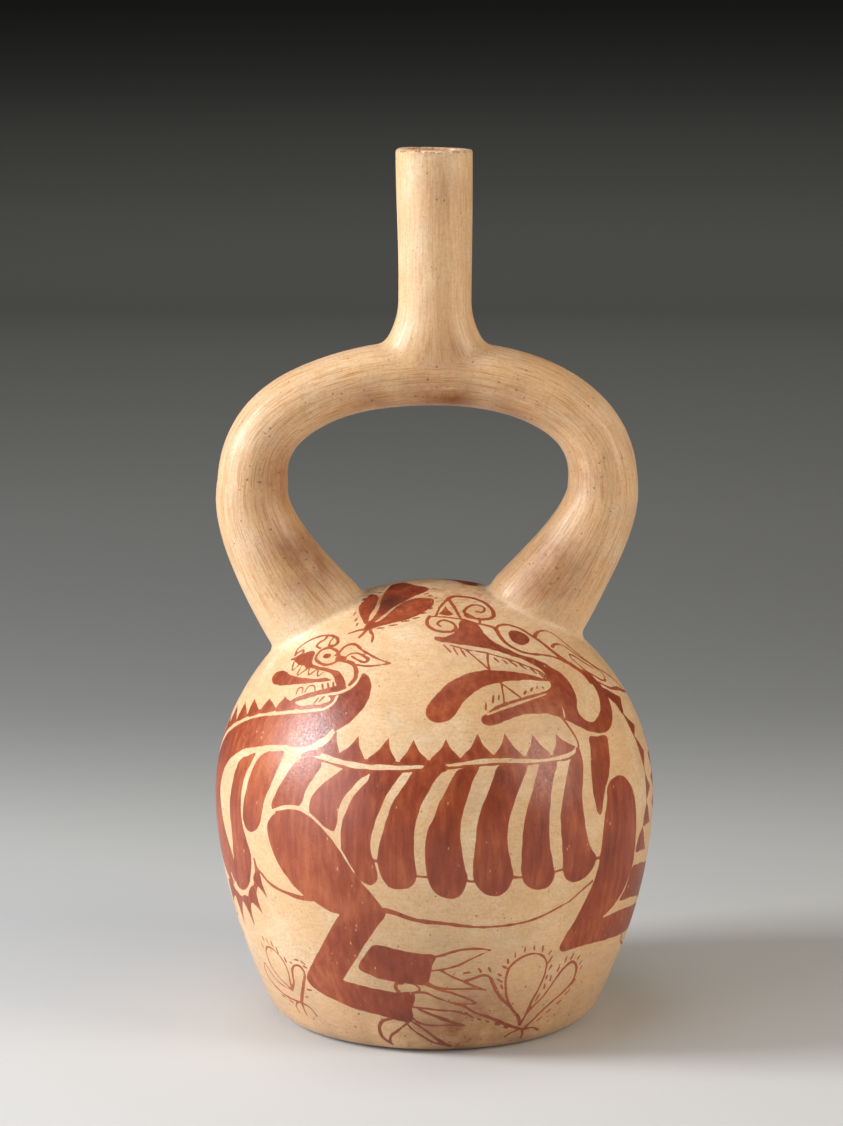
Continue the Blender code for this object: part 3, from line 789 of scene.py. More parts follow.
              (50, 129), (49.2, 125.5), (47.5, 122), (47, 119.5), (44, 117.7), (40, 120), (36, 122),
              (32, 122.7), (27.5, 123), (24, 122.2), (20, 121), (17.5, 120.3), (15, 120.3), (13.7, 121.2),
              (13.7, 122.8), (15.5, 124.2), (17.5, 125.8), (20, 127), (23.5, 128), (27, 128.6), (31, 129.3),
              (36, 129.8), (39, 130.2)]),
    ("gap", [(15.7, 123.9), (19, 125), (22, 125.9), (26, 126.9), (29, 127.5), (33, 128.2), (38, 129)],
     [0.2, 0.5, 0.45, 0.2]),
    ("gap", [(42, 125.5), (41.8, 122.7), (41.2, 120)], [0.12, 0.3]),
    ("fill", [(0, 155), (5, 155.3), (9, 156.7), (12.5, 159.5), (14.5, 162.8), (17, 164.4), (20, 163.3),
              (24.5, 160.7), (25, 157), (26.5, 153.5), (28.5, 151), (31.5, 148.6), (36, 145.1), (40, 143.2),
              (43, 141.2), (46, 138), (44, 135), (42.5, 135), (41, 138.4), (38.5, 140.7), (36, 142.9),
              (32, 145), (28.5, 146.9), (23, 149), (17, 150.5), (11, 151.5), (7, 152.3), (2.5, 152.9),
              (0, 153.8)]),
    ("fill", [(42, 133.4), (38.5, 135.3), (34.5, 137.1), (30.5, 138.4), (26, 139.4), (21.5, 140),
              (16.5, 140.1), (12, 139.3), (8, 137.6), (4, 135.3), (2, 133.2), (0, 131), (-1.7, 128.5),
              (-2.8, 126), (-2.6, 124), (-1.2, 122.3), (0.6, 121.7), (2.5, 121.8), (4, 122.4), (5.6, 123.7),
              (7, 125.9), (8.5, 128.2), (11, 130.6), (13, 132), (16, 133.7), (19, 134.5), (24, 135.2),
              (29, 135.3), (35, 134.7), (39, 133.7)]),
    ("line", [(7, 151.2), (11, 150), (14, 149), (19, 148), (23, 146.8), (26, 145.5), (31, 143.2),
              (35, 140.8), (38.5, 138.5), (41, 136), (41.7, 133.5)], [0.3, 0.32, 0.4]),
    ("dashes", [(4, 151.3), (6.5, 148.2), (8, 150), (9.3, 147), (11, 149.5), (12.4, 146.2), (24, 145),
                (25.2, 143), (27, 144.3), (28.3, 142.2), (30, 143), (31.7, 140.8), (33.5, 141), (35, 139),
                (37, 139), (38.2, 136.8), (39.3, 136.7), (40.5, 134.8), (16, 128), (15.5, 125.7),
                (19, 130.3), (18.2, 128), (21, 130.7), (20.4, 129), (31, 131), (29.8, 130), (34, 131.9),
                (32.7, 130.8), (36, 132.2), (35.2, 131.2), (37.7, 131.6), (38.1, 131.2)]),
    ("line", [(13, 149.3), (15.5, 146.3), (18, 143.2), (20.3, 140.3)], [0.25, 0.35]),
    ("line", [(20.3, 140.3), (20.7, 143.5), (22, 147)], [0.35, 0.4]),
    ("line", [(22, 127.8), (22.5, 131), (23, 134.7)], [0.3, 0.35]),
    ("line", [(23, 134.7), (25.5, 132), (28, 129.2)], [0.3, 0.4]),
    ("peaks", [(3, 167.6), (8.5, 172.5), (12.5, 167)]),
    ("line", [(0.5, 166), (4.5, 172), (14, 177.7)], [0.4, 0.55]),
    ("line", [(14, 177.7), (15.5, 171.5), (16, 164.7)], [0.7, 0.5]),
    ("line", [(-3.5, 165.9), (3, 165.9), (9, 165.4), (16, 164.3)], [0.3, 0.4]),
    ("line", [(-3, 166), (-4.3, 164.5), (-4.2, 161.7), (-2, 159.6), (1.5, 158.2), (5, 157.7), (9, 158),
              (11.3, 159.5), (11, 161.7), (8.5, 163.2), (5, 163.9), (2.3, 163), (1.7, 161.6), (3.2, 160.6)],
     [0.6, 0.65, 0.6, 0.5, 0.5, 0.4]),
    ("line", [(14, 177.7), (21, 179), (32, 178.3), (41, 176), (44.5, 172.8), (44, 169.5), (42, 166.7),
              (38.5, 164.2), (34, 163.2), (29, 163.4), (25, 164.3), (21, 165.5)],
     [0.8, 0.8, 0.75, 0.7, 0.6]),
    ("line", [(21, 165.5), (21, 168.3), (25.5, 170.8), (32, 172), (37, 171.3), (38.5, 169.7), (36.5, 168),
              (32, 167.3), (30, 168)], [0.6, 0.5, 0.45]),
    ("fill", [(20, 165), (20.5, 168.5), (23.5, 167), (26, 164.2)]),
    ("line", [(16, 164.6), (22, 162.3), (27, 160.7), (31.5, 159), (33, 157.7)], [0.5, 0.5, 0.6]),
    ("line", [(28, 164), (26, 161.2)], [0.55, 0.5]),
    ("line", [(33, 157.7), (36, 159), (41, 159), (45, 157.2), (47.5, 155), (49.3, 151.5)],
     [0.6, 0.55, 0.7]),
    ("line", [(49.3, 151.5), (51, 148.3), (52.3, 144.5), (54, 140.5), (57, 136.3), (59.5, 132.7),
              (60.2, 129)], [0.7, 0.7, 0.8, 1, 0.9]),
    ("line", [(33, 157.7), (32.3, 154), (33.3, 150.3), (36, 147.3), (40, 145), (45, 143.6), (49.5, 142.1),
              (53, 139.8), (55, 137.8)], [0.85, 0.55, 0.45, 0.4]),
    ("fill", [(38, 155), (41, 155.8), (44, 155.1), (46.5, 153), (46.3, 150.3), (43, 148.9), (39.5, 148.9),
              (37, 150.7), (36.8, 153)]),  # pupil
    ("line", [(50.8, 151.2), (53.2, 152), (57, 152.6), (61.3, 151.8), (63.2, 150.2), (64, 146.8),
              (64.7, 143.3), (65.7, 139.8), (67.7, 136), (70.8, 132.6), (75.4, 129), (79.2, 125.7),
              (83, 121.5)], [0.7, 0.5, 0.4, 0.3, 0.3, 0.3, 0.3]),
    ("line", [(54.6, 145.2), (57, 145.9), (60, 145.3), (62, 143.8), (63.4, 141.2), (65.2, 138.2), (68, 135),
              (70, 132.4), (71.7, 130.3), (71.7, 128.7), (70.3, 127.5), (68, 128), (65.2, 130.2),
              (61.7, 133.5), (60, 137.5), (59.5, 139.5), (60.4, 140.5), (61.8, 139.7), (64.1, 137),
              (66.1, 134.6), (68, 132.9)],
     [0.7, 0.45, 0.3, 0.3, 0.3, 0.35, 0.5, 0.35, 0.35, 0.35, 0.4, 0.3, 0.29]),
    ("line", [(61, 129.6), (64.5, 128), (67.2, 126.2), (70, 124.5), (76, 123), (83.4, 120.2), (88, 119)],
     [0.5, 0.4, 0.4, 0.5, 0.8, 0.6, 0.5]),
    ("fill", [(62.9, 126.8), (65.9, 125.4), (69, 123), (72.2, 120.5), (72, 118), (67.5, 119.3),
              (64.8, 122.6)]),
]

sideBeast = [
    ("fill", [(-26.5, 138.4), (-24, 137.4), (-22, 134.7), (-21.3, 131.5), (-21.5, 128), (-23, 124.3),
              (-25, 121), (-28, 118), (-31, 115.8), (-34, 113.4), (-36.5, 111.2), (-40, 109.9),
              (-45, 109.8), (-50, 109), (-56, 107), (-62, 105), (-67, 102), (-71.5, 98.5), (-75, 93),
              (-76, 87.5), (-74.3, 81.5), (-72, 76), (-69, 71), (-66.5, 66), (-67, 60), (-70, 56.5),
              (-76, 58), (-82, 63), (-88, 71), (-91, 80), (-90.7, 90), (-87, 98), (-83, 103.3), (-79, 107),
              (-72, 111.5), (-64, 115.7), (-57, 118), (-50, 120), (-45, 121.3), (-39.5, 122.7), (-36, 124),
              (-34.5, 127), (-32, 129.7), (-29, 132.3), (-27.3, 135.5)]),
    # lower jaw
    ("fill", [(-49.8, 124.2), (-46, 127.3), (-42, 129.3), (-37.5, 131.2), (-31, 133), (-29.3, 131),
              (-31, 128), (-33, 126), (-35, 124.6), (-39.5, 123.4), (-45, 122.1), (-47.5, 122.6)]),
    ("cut", [(-48, 124.2), (-45, 125.7), (-40, 127.8), (-36, 128.6), (-34.5, 127.3), (-36.5, 125.7),
             (-41, 124.6), (-45.5, 123.6)]),
    ("dashes", [(-39, 127.6), (-40, 125.3), (-37.3, 128), (-38.5, 125.8)]),
    ("gap", [(-29.8, 141.5), (-27.7, 138.7), (-27.3, 135.7), (-29, 132.4), (-32, 130.4), (-36, 129.1),
             (-40, 127.7)], [0.3, 0.5, 0.45, 0.5, 0.45]),
    ("gap", [(-93, 84), (-91.5, 91), (-87.7, 98.3), (-83.5, 103.6), (-79, 107.3), (-72, 111.7),
             (-64, 115.9), (-57, 118.2), (-50, 120.1), (-45, 121.4), (-39.5, 122.8), (-35, 124.3),
             (-32.9, 126.5), (-32.5, 128.8)], [0.7, 0.6, 0.6, 0.55, 0.55, 0.45]),
    ("line", [(-93.5, 76), (-94.3, 84), (-93, 91.5), (-89, 99.5), (-85, 104.8), (-79.5, 109), (-72, 113.3),
              (-64, 117.4), (-57, 119.8), (-50, 121.6), (-46, 122.6)], [0.6, 0.6, 0.6, 0.6, 0.5]),
    ("peaks", [(-55, 120), (-53.5, 125.4), (-45.8, 122.6), (-62.5, 117.5), (-60.8, 123.2), (-54.8, 120.2),
               (-69.2, 114.8), (-69.9, 120.8), (-62.2, 117.4), (-76.1, 111), (-76, 118.2), (-69.6, 114.6),
               (-82.8, 107), (-84, 115.2), (-76.8, 111), (-88.2, 102.3), (-89, 110.4), (-82.4, 107.4),
               (-91.5, 97), (-94.3, 104.8), (-88, 102.4), (-93.6, 91.3), (-98, 98), (-91.4, 97), (-94, 85),
               (-100, 90.5), (-93.3, 91), (-94, 77.5), (-100.5, 82), (-94.2, 84)], -0.1),
    ("gap", [(-75, 90), (-73, 95), (-68.5, 100.2), (-62, 103.8), (-56, 106), (-50, 107.8), (-44, 108.9),
             (-39.5, 109.5), (-35.5, 111), (-32.5, 113.5), (-30.3, 117)],
     [0.7, 0.5, 0.5, 0.5, 0.6, 0.65, 0.65, 0.6, 0.6, 0.6]),
    ("fill", [(-45, 107.8), (-48, 107.3), (-52.5, 105.8), (-55, 103), (-56.3, 99.5), (-57, 96),
              (-57.8, 91.5), (-58.5, 86.5), (-58.3, 81.5), (-57, 79.5), (-54.5, 79), (-52, 80.3),
              (-50.2, 83.5), (-49.5, 87.5), (-48.7, 92), (-47.3, 96), (-46.3, 100), (-45.3, 104)]),
    # last rib and leg
    ("fill", [(-56.5, 104.7), (-60, 103), (-63.5, 101), (-65.5, 97.5), (-66, 93), (-66.7, 88.5), (-67, 84),
              (-66.5, 79), (-66, 74.5), (-66.3, 69), (-67, 63), (-68, 58.5), (-66.5, 56.6), (-64, 56.2),
              (-60.7, 57.7), (-58.2, 60.3), (-56.6, 64), (-55.5, 68), (-55.2, 70.5), (-57, 75.5),
              (-58.8, 80), (-59.7, 85), (-60, 89.5), (-59.8, 93.5), (-58.8, 98), (-57.3, 102)]),
    ("cut", [(-66.8, 101.2), (-71, 98), (-73.7, 93), (-74.5, 87.5), (-73.2, 81.5), (-71.3, 76), (-69, 72),
             (-66.6, 69), (-66.2, 75), (-66.7, 80), (-67.2, 85), (-67, 89), (-66.3, 94), (-65, 99.3)]),
    ("fill", [(-54, 69.5), (-54.3, 65), (-56, 60.5), (-59.5, 55.8), (-64, 53.7), (-69, 54.5), (-74, 57.5),
              (-76, 55), (-72, 52), (-69, 51), (-66, 51.7), (-62.5, 51.7), (-59, 53), (-56.5, 55.5),
              (-54, 60), (-52.5, 65)]),
    ("peaks", [(-55.7, 62), (-49.7, 57.3), (-52.3, 66.5), (-60.3, 54.5), (-53.5, 50.7), (-55.5, 60.5),
               (-65, 53), (-60.3, 44.5), (-59.5, 54.5), (-71, 53.5), (-69.5, 41), (-65.5, 52.7),
               (-77, 56.5), (-79, 45), (-71.5, 53)]),
    ("gap", [(-55, 70.3), (-55.6, 66), (-57.2, 61), (-60.8, 56.7), (-64.2, 55.2), (-68.3, 56.4), (-71, 60)],
     [0.3, 0.45, 0.5, 0.45]),
    ("line", [(-54, 70), (-53, 67.5), (-51, 65.7), (-49, 64), (-46.5, 62.7), (-44, 62), (-40, 61.4),
              (-36.5, 61), (-33.5, 61.2)], [0.5, 0.45, 0.5, 0.55, 0.7, 0.9]),
    ("line", [(-62.5, 139.7), (-64.3, 141.5), (-63.5, 144.7), (-61, 147.7), (-56, 150.3), (-51.5, 151),
              (-47.5, 150.3), (-45.7, 149), (-46, 147.4), (-48, 146.6)], [0.6, 0.5, 0.5, 0.6, 0.65]),
    ("line", [(-54.3, 150.2), (-54, 148.5), (-55.3, 147), (-55, 145.5), (-52, 145)], [0.6, 0.55, 0.45]),
    ("line", [(-50, 150.4), (-50, 148.7), (-49, 147)], [0.35, 0.35]),
    ("line", [(-62.5, 140.5), (-60.5, 142.3), (-59, 141.5), (-60.5, 139.7)], [0.5, 0.4]),
    ("fill", [(-63.3, 137.7), (-61, 139.5), (-59, 140.9), (-57.5, 142.2), (-55, 143.3), (-52.7, 142.8),
              (-51.8, 141), (-50.7, 139.3), (-49, 138), (-52.5, 137.2), (-56, 137), (-60, 137.7)]),
    ("line", [(-51, 142), (-50.5, 144.5), (-48, 146), (-44.5, 145.9), (-41, 144.6), (-39.3, 142.3),
              (-41, 140.4), (-44, 139.4), (-47.5, 139.8), (-50, 140.7), (-51, 142)], [0.6, 0.5, 0.6]),
    ("line", [(-46.3, 142.7), (-45, 142.9)], [1, 1]),
    ("fill", [(-54.5, 138.2), (-49, 138.5), (-45, 138.3), (-40, 138.3), (-36, 137.7), (-33, 135.7),
              (-31, 132.8), (-33, 132), (-36, 134.3), (-37.7, 136), (-42.5, 137), (-48.5, 137.1),
              (-53, 137)]),
    ("line", [(-40, 142.3), (-35.5, 142.2), (-32, 141.4), (-29.5, 139), (-28.6, 136), (-29.7, 133.5)],
     [0.7, 0.7, 0.8, 0.7]),
    ("fill", [(-41, 143.7), (-39, 144), (-36, 143.3), (-37.5, 142), (-40.5, 141.5)]),
    ("line", [(-42, 143.8), (-41, 145.5), (-40.8, 147.3), (-38.3, 149.3), (-35.5, 149.3), (-32, 147.7),
              (-27, 146), (-22, 144.3), (-17, 143.1)], [0.6, 0.5, 0.55, 0.5, 0.4, 0.2]),
    ("line", [(-17, 143.1), (-21, 142.1), (-25.5, 141.3), (-30.3, 141.3)], [0.2, 0.35, 0.45]),
    ("line", [(-37.2, 143.3), (-35.5, 145.3), (-33, 146), (-29, 145), (-26.7, 143.8), (-27.2, 142.8),
              (-30.5, 143.2), (-34.5, 144.4)], [0.3, 0.35, 0.6, 0.5, 0.3]),
    ("fill", [(-66.3, 129.3), (-66.7, 131), (-64.5, 132.8), (-61, 133.3), (-57, 132.8), (-53, 132.9),
              (-49, 133.1), (-44, 133.7), (-40, 134.7), (-37, 134.3), (-41, 133), (-46, 131.7),
              (-51, 130.3), (-56, 129), (-61, 128), (-64.5, 128.2)]),  # tongue
    ("line", [(-60.3, 137.4), (-57.5, 134.5), (-56.3, 136.8)], [0.35, 0.3, 0.35]),
    ("line", [(-54.4, 137), (-53.6, 133.4), (-50.5, 136.9)], [0.3, 0.3]),
    ("line", [(-50, 136.9), (-48.3, 134.6), (-46.3, 136.9)], [0.3, 0.3]),
    ("line", [(-45.4, 136.9), (-44, 134.8), (-42.4, 136.6)], [0.3, 0.3]),
    ("line", [(-49, 126.6), (-49.2, 129.3), (-47.6, 129.6), (-46.8, 127.8)], [0.3, 0.3]),
    ("line", [(-45.9, 128.3), (-45.2, 130.8), (-43, 131.1), (-41.8, 129.5)], [0.3, 0.3]),
    ("dashes", [(-40.3, 132.3), (-39, 130.7), (-38.3, 133), (-37, 131.3), (-36.3, 133.6), (-35.4, 132)]),
]

domePlant = [
    ("fill", [(-39, 159.3), (-47, 162), (-56, 165.2), (-62.5, 167.7), (-70, 171), (-71.5, 173.7),
              (-66, 174.7), (-55.5, 173.5), (-49.5, 171), (-44.5, 167.5), (-42, 163.5), (-39.3, 160.3)]),
    ("fill", [(-37.3, 160), (-38.5, 163.3), (-41.5, 168), (-48, 172), (-59.5, 176.5), (-77, 180.5),
              (-95, 182.7), (-96, 186), (-80, 187.5), (-50, 188), (-20, 187.7), (-10, 185.5),
              (-14.7, 182.3), (-22.7, 178.5), (-27.5, 174), (-31, 170.3), (-32.5, 166), (-34, 163),
              (-34.7, 161.3), (-35.5, 159.5)]),
    ("fill", [(-36.5, 157.7), (-34.5, 157.2), (-30, 159), (-24.3, 161), (-18, 163), (-13.5, 165),
              (-8.7, 167.5), (-3.7, 171), (-0.7, 174.5), (-1.6, 177.3), (-8, 178), (-17.5, 177.7),
              (-25, 175), (-28.5, 172), (-30.3, 167.7), (-31.3, 164), (-33, 161.3), (-36, 159.5)]),
    ("line", [(-37.5, 160), (-36.5, 158.3), (-37.5, 156.7), (-40, 155.7), (-44, 153.5)],
     [1.2, 1.3, 0.6, 0.5, 0.4]),
    ("line", [(-36, 158), (-36.2, 154.5), (-36.8, 152.7)], [0.9, 0.6, 0.5]),
    ("line", [(-35.5, 158), (-33, 156), (-30.5, 154.3), (-29, 151.5)], [0.8, 0.6, 0.5, 0.5]),
    ("dashes", [(-55, 163.8), (-53, 161.7), (-48.5, 161), (-47.5, 159.5), (-44.5, 158.7), (-43.5, 157.5),
                (-64.5, 177), (-68.5, 176), (-73, 178.6), (-77, 178), (-85, 180), (-89, 179.6), (-5, 186.3),
                (3, 186.8), (-13, 181), (-8.5, 182), (-7, 179.6), (-3.5, 180.1), (0, 178), (3, 178.4),
                (-3.5, 170.3), (-1.7, 171.5), (-8.3, 167.2), (-6, 168.2), (-13.3, 164.3), (-9.7, 165.1),
                (-19, 162.3), (-15.3, 163), (-25, 159.8), (-21, 160.5), (-30.5, 157.9), (-27, 158.4)]),
]

basePlants = [
    ("line", [(-41, 31.5), (-43, 27), (-45, 23), (-47, 19)], [0.55, 0.75, 0.6]),
    ("line", [(-46.3, 19), (-49, 18.6), (-51, 16.3), (-50.5, 14)], [0.5, 0.3, 0.25]),
    ("line", [(-47, 19), (-47, 16.5), (-46.7, 14)], [0.5, 0.35]),
    ("line", [(-46.5, 19), (-43.7, 18), (-41.5, 15)], [0.4, 0.4, 0.35]),
    ("line", [(-49.5, 23.5), (-47.2, 27), (-46.6, 30), (-46, 32.3), (-44, 34.6), (-42.2, 34.8), (-41, 33),
              (-41, 31.3)], [0.4, 0.45, 0.5, 0.55]),
    ("line", [(-49.5, 23.5), (-49, 27), (-48.3, 31), (-49, 34.5), (-51, 37), (-53.5, 38.3), (-56, 38),
              (-57.6, 36), (-58, 33.3), (-57.3, 30), (-55, 27), (-52, 25), (-49.5, 23.3)],
     [0.4, 0.3, 0.35, 0.3, 0.4]),
    ("line", [(-48, 19), (-53.5, 19.2), (-58, 20.3), (-62, 22.3), (-64.2, 24.7), (-63.8, 27.7), (-62, 30),
              (-60.3, 28), (-58, 25.3), (-53.5, 23.7), (-49.5, 23.3)], [0.45, 0.35, 0.3, 0.25]),
    ("dashes", [(-57.3, 41.3), (-56.7, 40), (-55.3, 41.5), (-54.7, 40), (-53, 41), (-52.3, 39),
                (-59.3, 38.7), (-58.7, 37), (-51, 39.3), (-50.6, 37.3), (-48, 36.3), (-47.8, 34.7),
                (-46, 35.3), (-45, 35), (-44, 36.7), (-42.2, 37), (-41.3, 37), (-39.8, 36), (-40.6, 35.2),
                (-39.3, 34.7), (-42, 25.7), (-40, 25.9), (-43.7, 22.3), (-42.7, 22.3), (-58, 18.8),
                (-56, 18.5), (-54, 18), (-52, 17.5)]),
    ("line", [(28.5, 14.5), (27, 18), (24, 22), (22, 26), (21, 30), (20.6, 35), (21.3, 38.5), (23.5, 41),
              (26, 42.2), (28.7, 42.3), (31.2, 41), (32.9, 38.5), (33.3, 35), (33, 32), (32, 28),
              (30.6, 23.5), (29.6, 18), (28.5, 14.5)], [0.65, 0.45, 0.4, 0.45, 0.35, 0.4, 0.4, 0.6]),
    ("line", [(29.6, 17.8), (31.5, 21.3), (34, 24), (35.7, 26.7), (38, 31), (40.5, 34.6), (43, 36),
              (45, 34.5), (46.2, 31.5), (45.8, 28), (43.5, 25), (39.5, 22), (36, 18.9), (33, 15.2),
              (30, 12)], [0.3, 0.4, 0.5, 0.5, 0.45, 0.5]),
    ("line", [(8.5, 34.1), (11, 35.1), (14, 36.1), (15, 35.8), (17, 32.2), (19, 28), (23, 23)],
     [0.5, 0.55, 0.45, 0.65, 0.4]),
    ("line", [(6, 25.2), (9, 24.1), (12, 21.7), (17, 19.2), (22, 16.2), (27.5, 13.2), (30.5, 12.1),
              (34, 12), (37, 10.4)], [0.35, 0.45, 0.5, 0.75, 0.5, 0.45, 0.35]),
    ("line", [(24, 10), (26, 11.4), (28.3, 12.3)], [0.4, 0.4]),
    ("line", [(30.6, 8), (30.5, 10.3), (30, 12)], [0.35, 0.4]),
    ("dashes", [(8, 37.2), (10, 37.5), (12, 39), (13, 37.6), (15, 39), (15.8, 37.2), (18, 36.3), (19, 35.5),
                (18, 34.2), (19.5, 33), (19.2, 32), (20, 30.3), (19, 39.1), (20.3, 38.3), (20.3, 41.5),
                (20.6, 40), (22.3, 43.7), (22.5, 42), (25.2, 45.2), (25.2, 43.5), (28, 45.2), (28.2, 43.7),
                (30.8, 44.7), (31, 42.7), (34, 42.3), (33.2, 41), (34.7, 40), (33.8, 38), (35.2, 36.6),
                (34.4, 35), (34.3, 33), (34, 31.5), (34, 30), (34.2, 28), (33, 26), (32, 23.7),
                (35.8, 32.7), (35.8, 30.5), (38.2, 35.5), (37.8, 33.7), (40.3, 38.5), (40, 36.5), (43, 39),
                (42.2, 37.2), (46, 37.7), (45.2, 36.4), (47.7, 35.5), (46.8, 34), (48.3, 33.2),
                (47.8, 31.7), (47, 28.3), (45.8, 26.5), (46, 24.5), (44, 23), (43, 21), (41.3, 20),
                (39.5, 18.5), (37.8, 17.2), (36.8, 16), (35, 14.7), (10, 21), (12, 19.4), (13.3, 19),
                (14.7, 18.3), (16, 17.8), (17.2, 17.2), (19.5, 16.2), (21, 15.4), (22.7, 14.4),
                (24.2, 13.7)]),
]


# One figure, turned round the body. A crest may say how hollow its points are.
def paintFigure(brush, steps, turn=0.0, plain=False):
    p = paintwork
    for step in steps:
        kind, places = step[:2]
        path = brush.place(places, turn)
        if kind in ("fill", "cut"):
            brush.patch(smoothPath(path, closed=True), kind == "fill")
        elif kind in ("line", "gap"):
            brush.stroke(smoothPath(path), step[2], kind == "line")
        elif kind == "peaks":
            hollow = step[2] if len(step) > 2 else p["hollow"]
            for left, tip, right in path.reshape(-1, 3, 2):
                foot = (left + right) / 2
                leftFlank, rightFlank = ((end + tip) / 2 + (foot - end) * hollow for end in (left, right))
                curve = [left, leftFlank, tip + (left - tip) * 0.04, tip + (tip - foot) * 0.02,
                         tip + (right - tip) * 0.04, rightFlank, right, foot + (foot - tip) * 0.12]
                brush.patch(smoothPath(curve, closed=True, parts=4))
        elif not plain:
            for a, b in path.reshape(-1, 2, 2):
                brush.stroke(np.stack([a, (a + b) / 2, b]), [p["finest"], p["dash"], p["finest"]])


brush = Brush(outerWall)
for turn, plain in ((180, True), (0, False)):
    for figure in (sideBeast, crestedBeast, domePlant, basePlants):
        paintFigure(brush, figure, turn, plain)
for ring in outerLegs:
    brush.keepOff(ring[2])
brush.wander()
print("figures painted")

# The finishes' places on the finished piece
cream, red, bare = 0, 1, 2
spacing, innerSpacing = clayForm["wallSpacing"], clayForm["innerSpacing"]
clay = Clay()
flat, solid, faces, middle = bodySkin(outerWall, [ring[2] for ring in outerLegs], spacing, brush)
finish = np.where(brush.at(middle) > 0, red, cream)
clay.add(solid, faces, finish, wallGrain(solid), inside=np.clip(brush.at(flat), 0, None))
run, turn, solid, faces = loopSkin(loop, outerLegs, outerSpout, 0.0, spacing * clayForm["tubeFiner"])
clay.add(solid, faces, cream, tubeGrain(run, turn))
solid, faces, lip, turn = spoutSkin(loop, outerSpout, innerSpout)
clay.add(solid, faces, cream, tubeGrain(solid[:, 2] + 40, turn), lip)
flat, solid, faces, middle = bodySkin(innerWall, [ring[2] for ring in innerLegs], innerSpacing)
clay.add(solid, faces, bare, wallGrain(solid), flip=True)
innerSpacing *= clayForm["boreFiner"]
run, turn, solid, faces = loopSkin(loop, innerLegs, innerSpout, clayForm["tubeWall"], innerSpacing)
clay.add(solid, faces, bare, tubeGrain(run, turn), flip=True)
for wall, finish in ((outerWall, cream), (innerWall, bare)):
    for top in (False, True):
        solid, faces = capSkin(wall, top)
        clay.add(solid, faces, finish, wallGrain(solid), flip=wall is innerWall)
print("skins laid out:", clay.count, "points,", len(clay.faces), "faces")


# 1 on the ring's points, falling to 0 at reach from them, for every point.
def nearJoint(points, ring, reach):
    near = np.all((points > ring.min(0) - reach) & (points < ring.max(0) + reach), axis=1)
    share = np.zeros(len(points))
    gap = np.sqrt(((points[near][:, None] - ring[None])**2).sum(2).min(1))
    share[near] = np.clip(1 - gap / reach, 0, 1)
    return share


# Moves points near a joint towards the average of their neighbours, again and again, as a wet finger does.
def rubJoints(points, edges, share, times):
    used = (share[edges] > 0).any(1)
    a, b = edges[used].T
    ties = np.bincount(a, minlength=len(points)) + np.bincount(b, minlength=len(points))
    ties = np.maximum(ties, 1)[:, None]
    for _ in range(times):
        total = np.zeros_like(points)
        np.add.at(total, a, points[b])
        np.add.at(total, b, points[a])
        pull = share[:, None] * clayForm["softPull"]
        points = np.where(share[:, None] > 0, points * (1 - pull) + total / ties * pull, points)
    return points


# Brown of handling all over the loop, between two heights with soft ends, and a darkening towards the base
loopAndBaseBrown = {
    "loop": 0.14, "from": 140, "over": 8, "to": 232, "fading": 12,
    "towardsBase": 0.6, "towardsBaseHeight": 28,
}
# The pebble's streaks show on the loop, from one height, and half as much on the spout, from another
tubeStreaks = {"from": 138, "over": 6, "spoutFrom": 226, "fading": 10, "lost": 0.5}
# Brown stains from long handling, and painted shade on the lower front and lower right of the body, where it
# curves in and faces down: place, reach in mm and strength of each
stainsAndShade = {
    "underArch": ((2, -12, 207), 20, 1.0),
    "archUnderLeft": ((-22, -11, 204), 16, 0.75),
    "archUnderRight": ((27, -11, 205), 16, 0.60),
    "leftElbow": ((-49, -10, 182), 18, 0.90),
    "leftLeg": ((-42, -14, 158), 20, 0.85),
    "rightLeg": ((37, -15, 152), 22, 0.70),
    "rightElbow": ((50, -11, 184), 15, 0.45),
    "spoutFront": ((3, -13, 276), 14, 0.35),
    "spoutFoot": ((3, -13, 224), 14, 0.45),
    # painted shade: the two low places darken the lower body at the right and front, where it faces down
    "lowRightShade": ((48, -45, 22), 26, 0.25),
    "lowFrontShade": ((8, -58, 16), 46, 0.60),
    "behindLeft": ((-30, 55, 40), 30, 0.30),
    "behindArch": ((20, 12, 206), 18, 0.50),
    "smokedLeaves": ((-15, -18, 143), 15, 1.15),
}


# Where the red is a lighter orange, in the same way: thin paint at the tongue, jaw, snout and near the leaf,
# and painted sheen on the left side, where the light falls
thinAndSheenPlaces = {
    "tongue": ((8, -60, 111), 20, 0.6),
    "lowerJaw": ((32, -54, 108), 22, 0.6),
    "snout": ((10, -48, 126), 20, 0.35),
    # painted sheen: the left-side places lighten the red where the light falls on it
    "leftThighSheen": ((-38, -60, 60), 26, 0.9),
    "leftFootSheen": ((-30, -50, 18), 20, 0.7),
    "leftNeckSheen": ((-52, -44, 98), 30, 1.1),
    "leftTailSheen": ((-68, -28, 60), 24, 0.4),
    "nearLeaf": ((-8, -24, 140), 10, 0.9),
}


# The greatest of some places' strengths at each point, each strength times (1 - (distance / reach)²)².
def placeShare(points, places):
    total = np.zeros(len(points))
    for place, reach, strength in places.values():
        gap = np.linalg.norm(points - place, axis=1)
        total = np.maximum(total, np.clip(1 - (gap / reach)**2, 0, None)**2 * strength)
    return total


# Brown of handling over the whole loop, darker towards the base, and at the stains, two of which are painted
# shade on the lower body.
def stainAndShadeAt(points):
    h, height = loopAndBaseBrown, points[:, 2]
    onLoop = np.clip((height - h["from"]) / h["over"], 0, 1)
    onLoop = onLoop * np.clip((h["to"] - height) / h["fading"], 0, 1)
    towardsBase = np.clip(1 - height / h["towardsBaseHeight"], 0, 1) * h["towardsBase"]
    return placeShare(points, stainsAndShade) + onLoop * h["loop"] + towardsBase


# How much of the pebble's streaks shows on the tube.
def streaksAt(points):
    t, height = tubeStreaks, points[:, 2]
    fading = np.clip((height - t["spoutFrom"]) / t["fading"], 0, 1)
    return np.clip((height - t["from"]) / t["over"], 0, 1) * (1 - t["lost"] * fading)


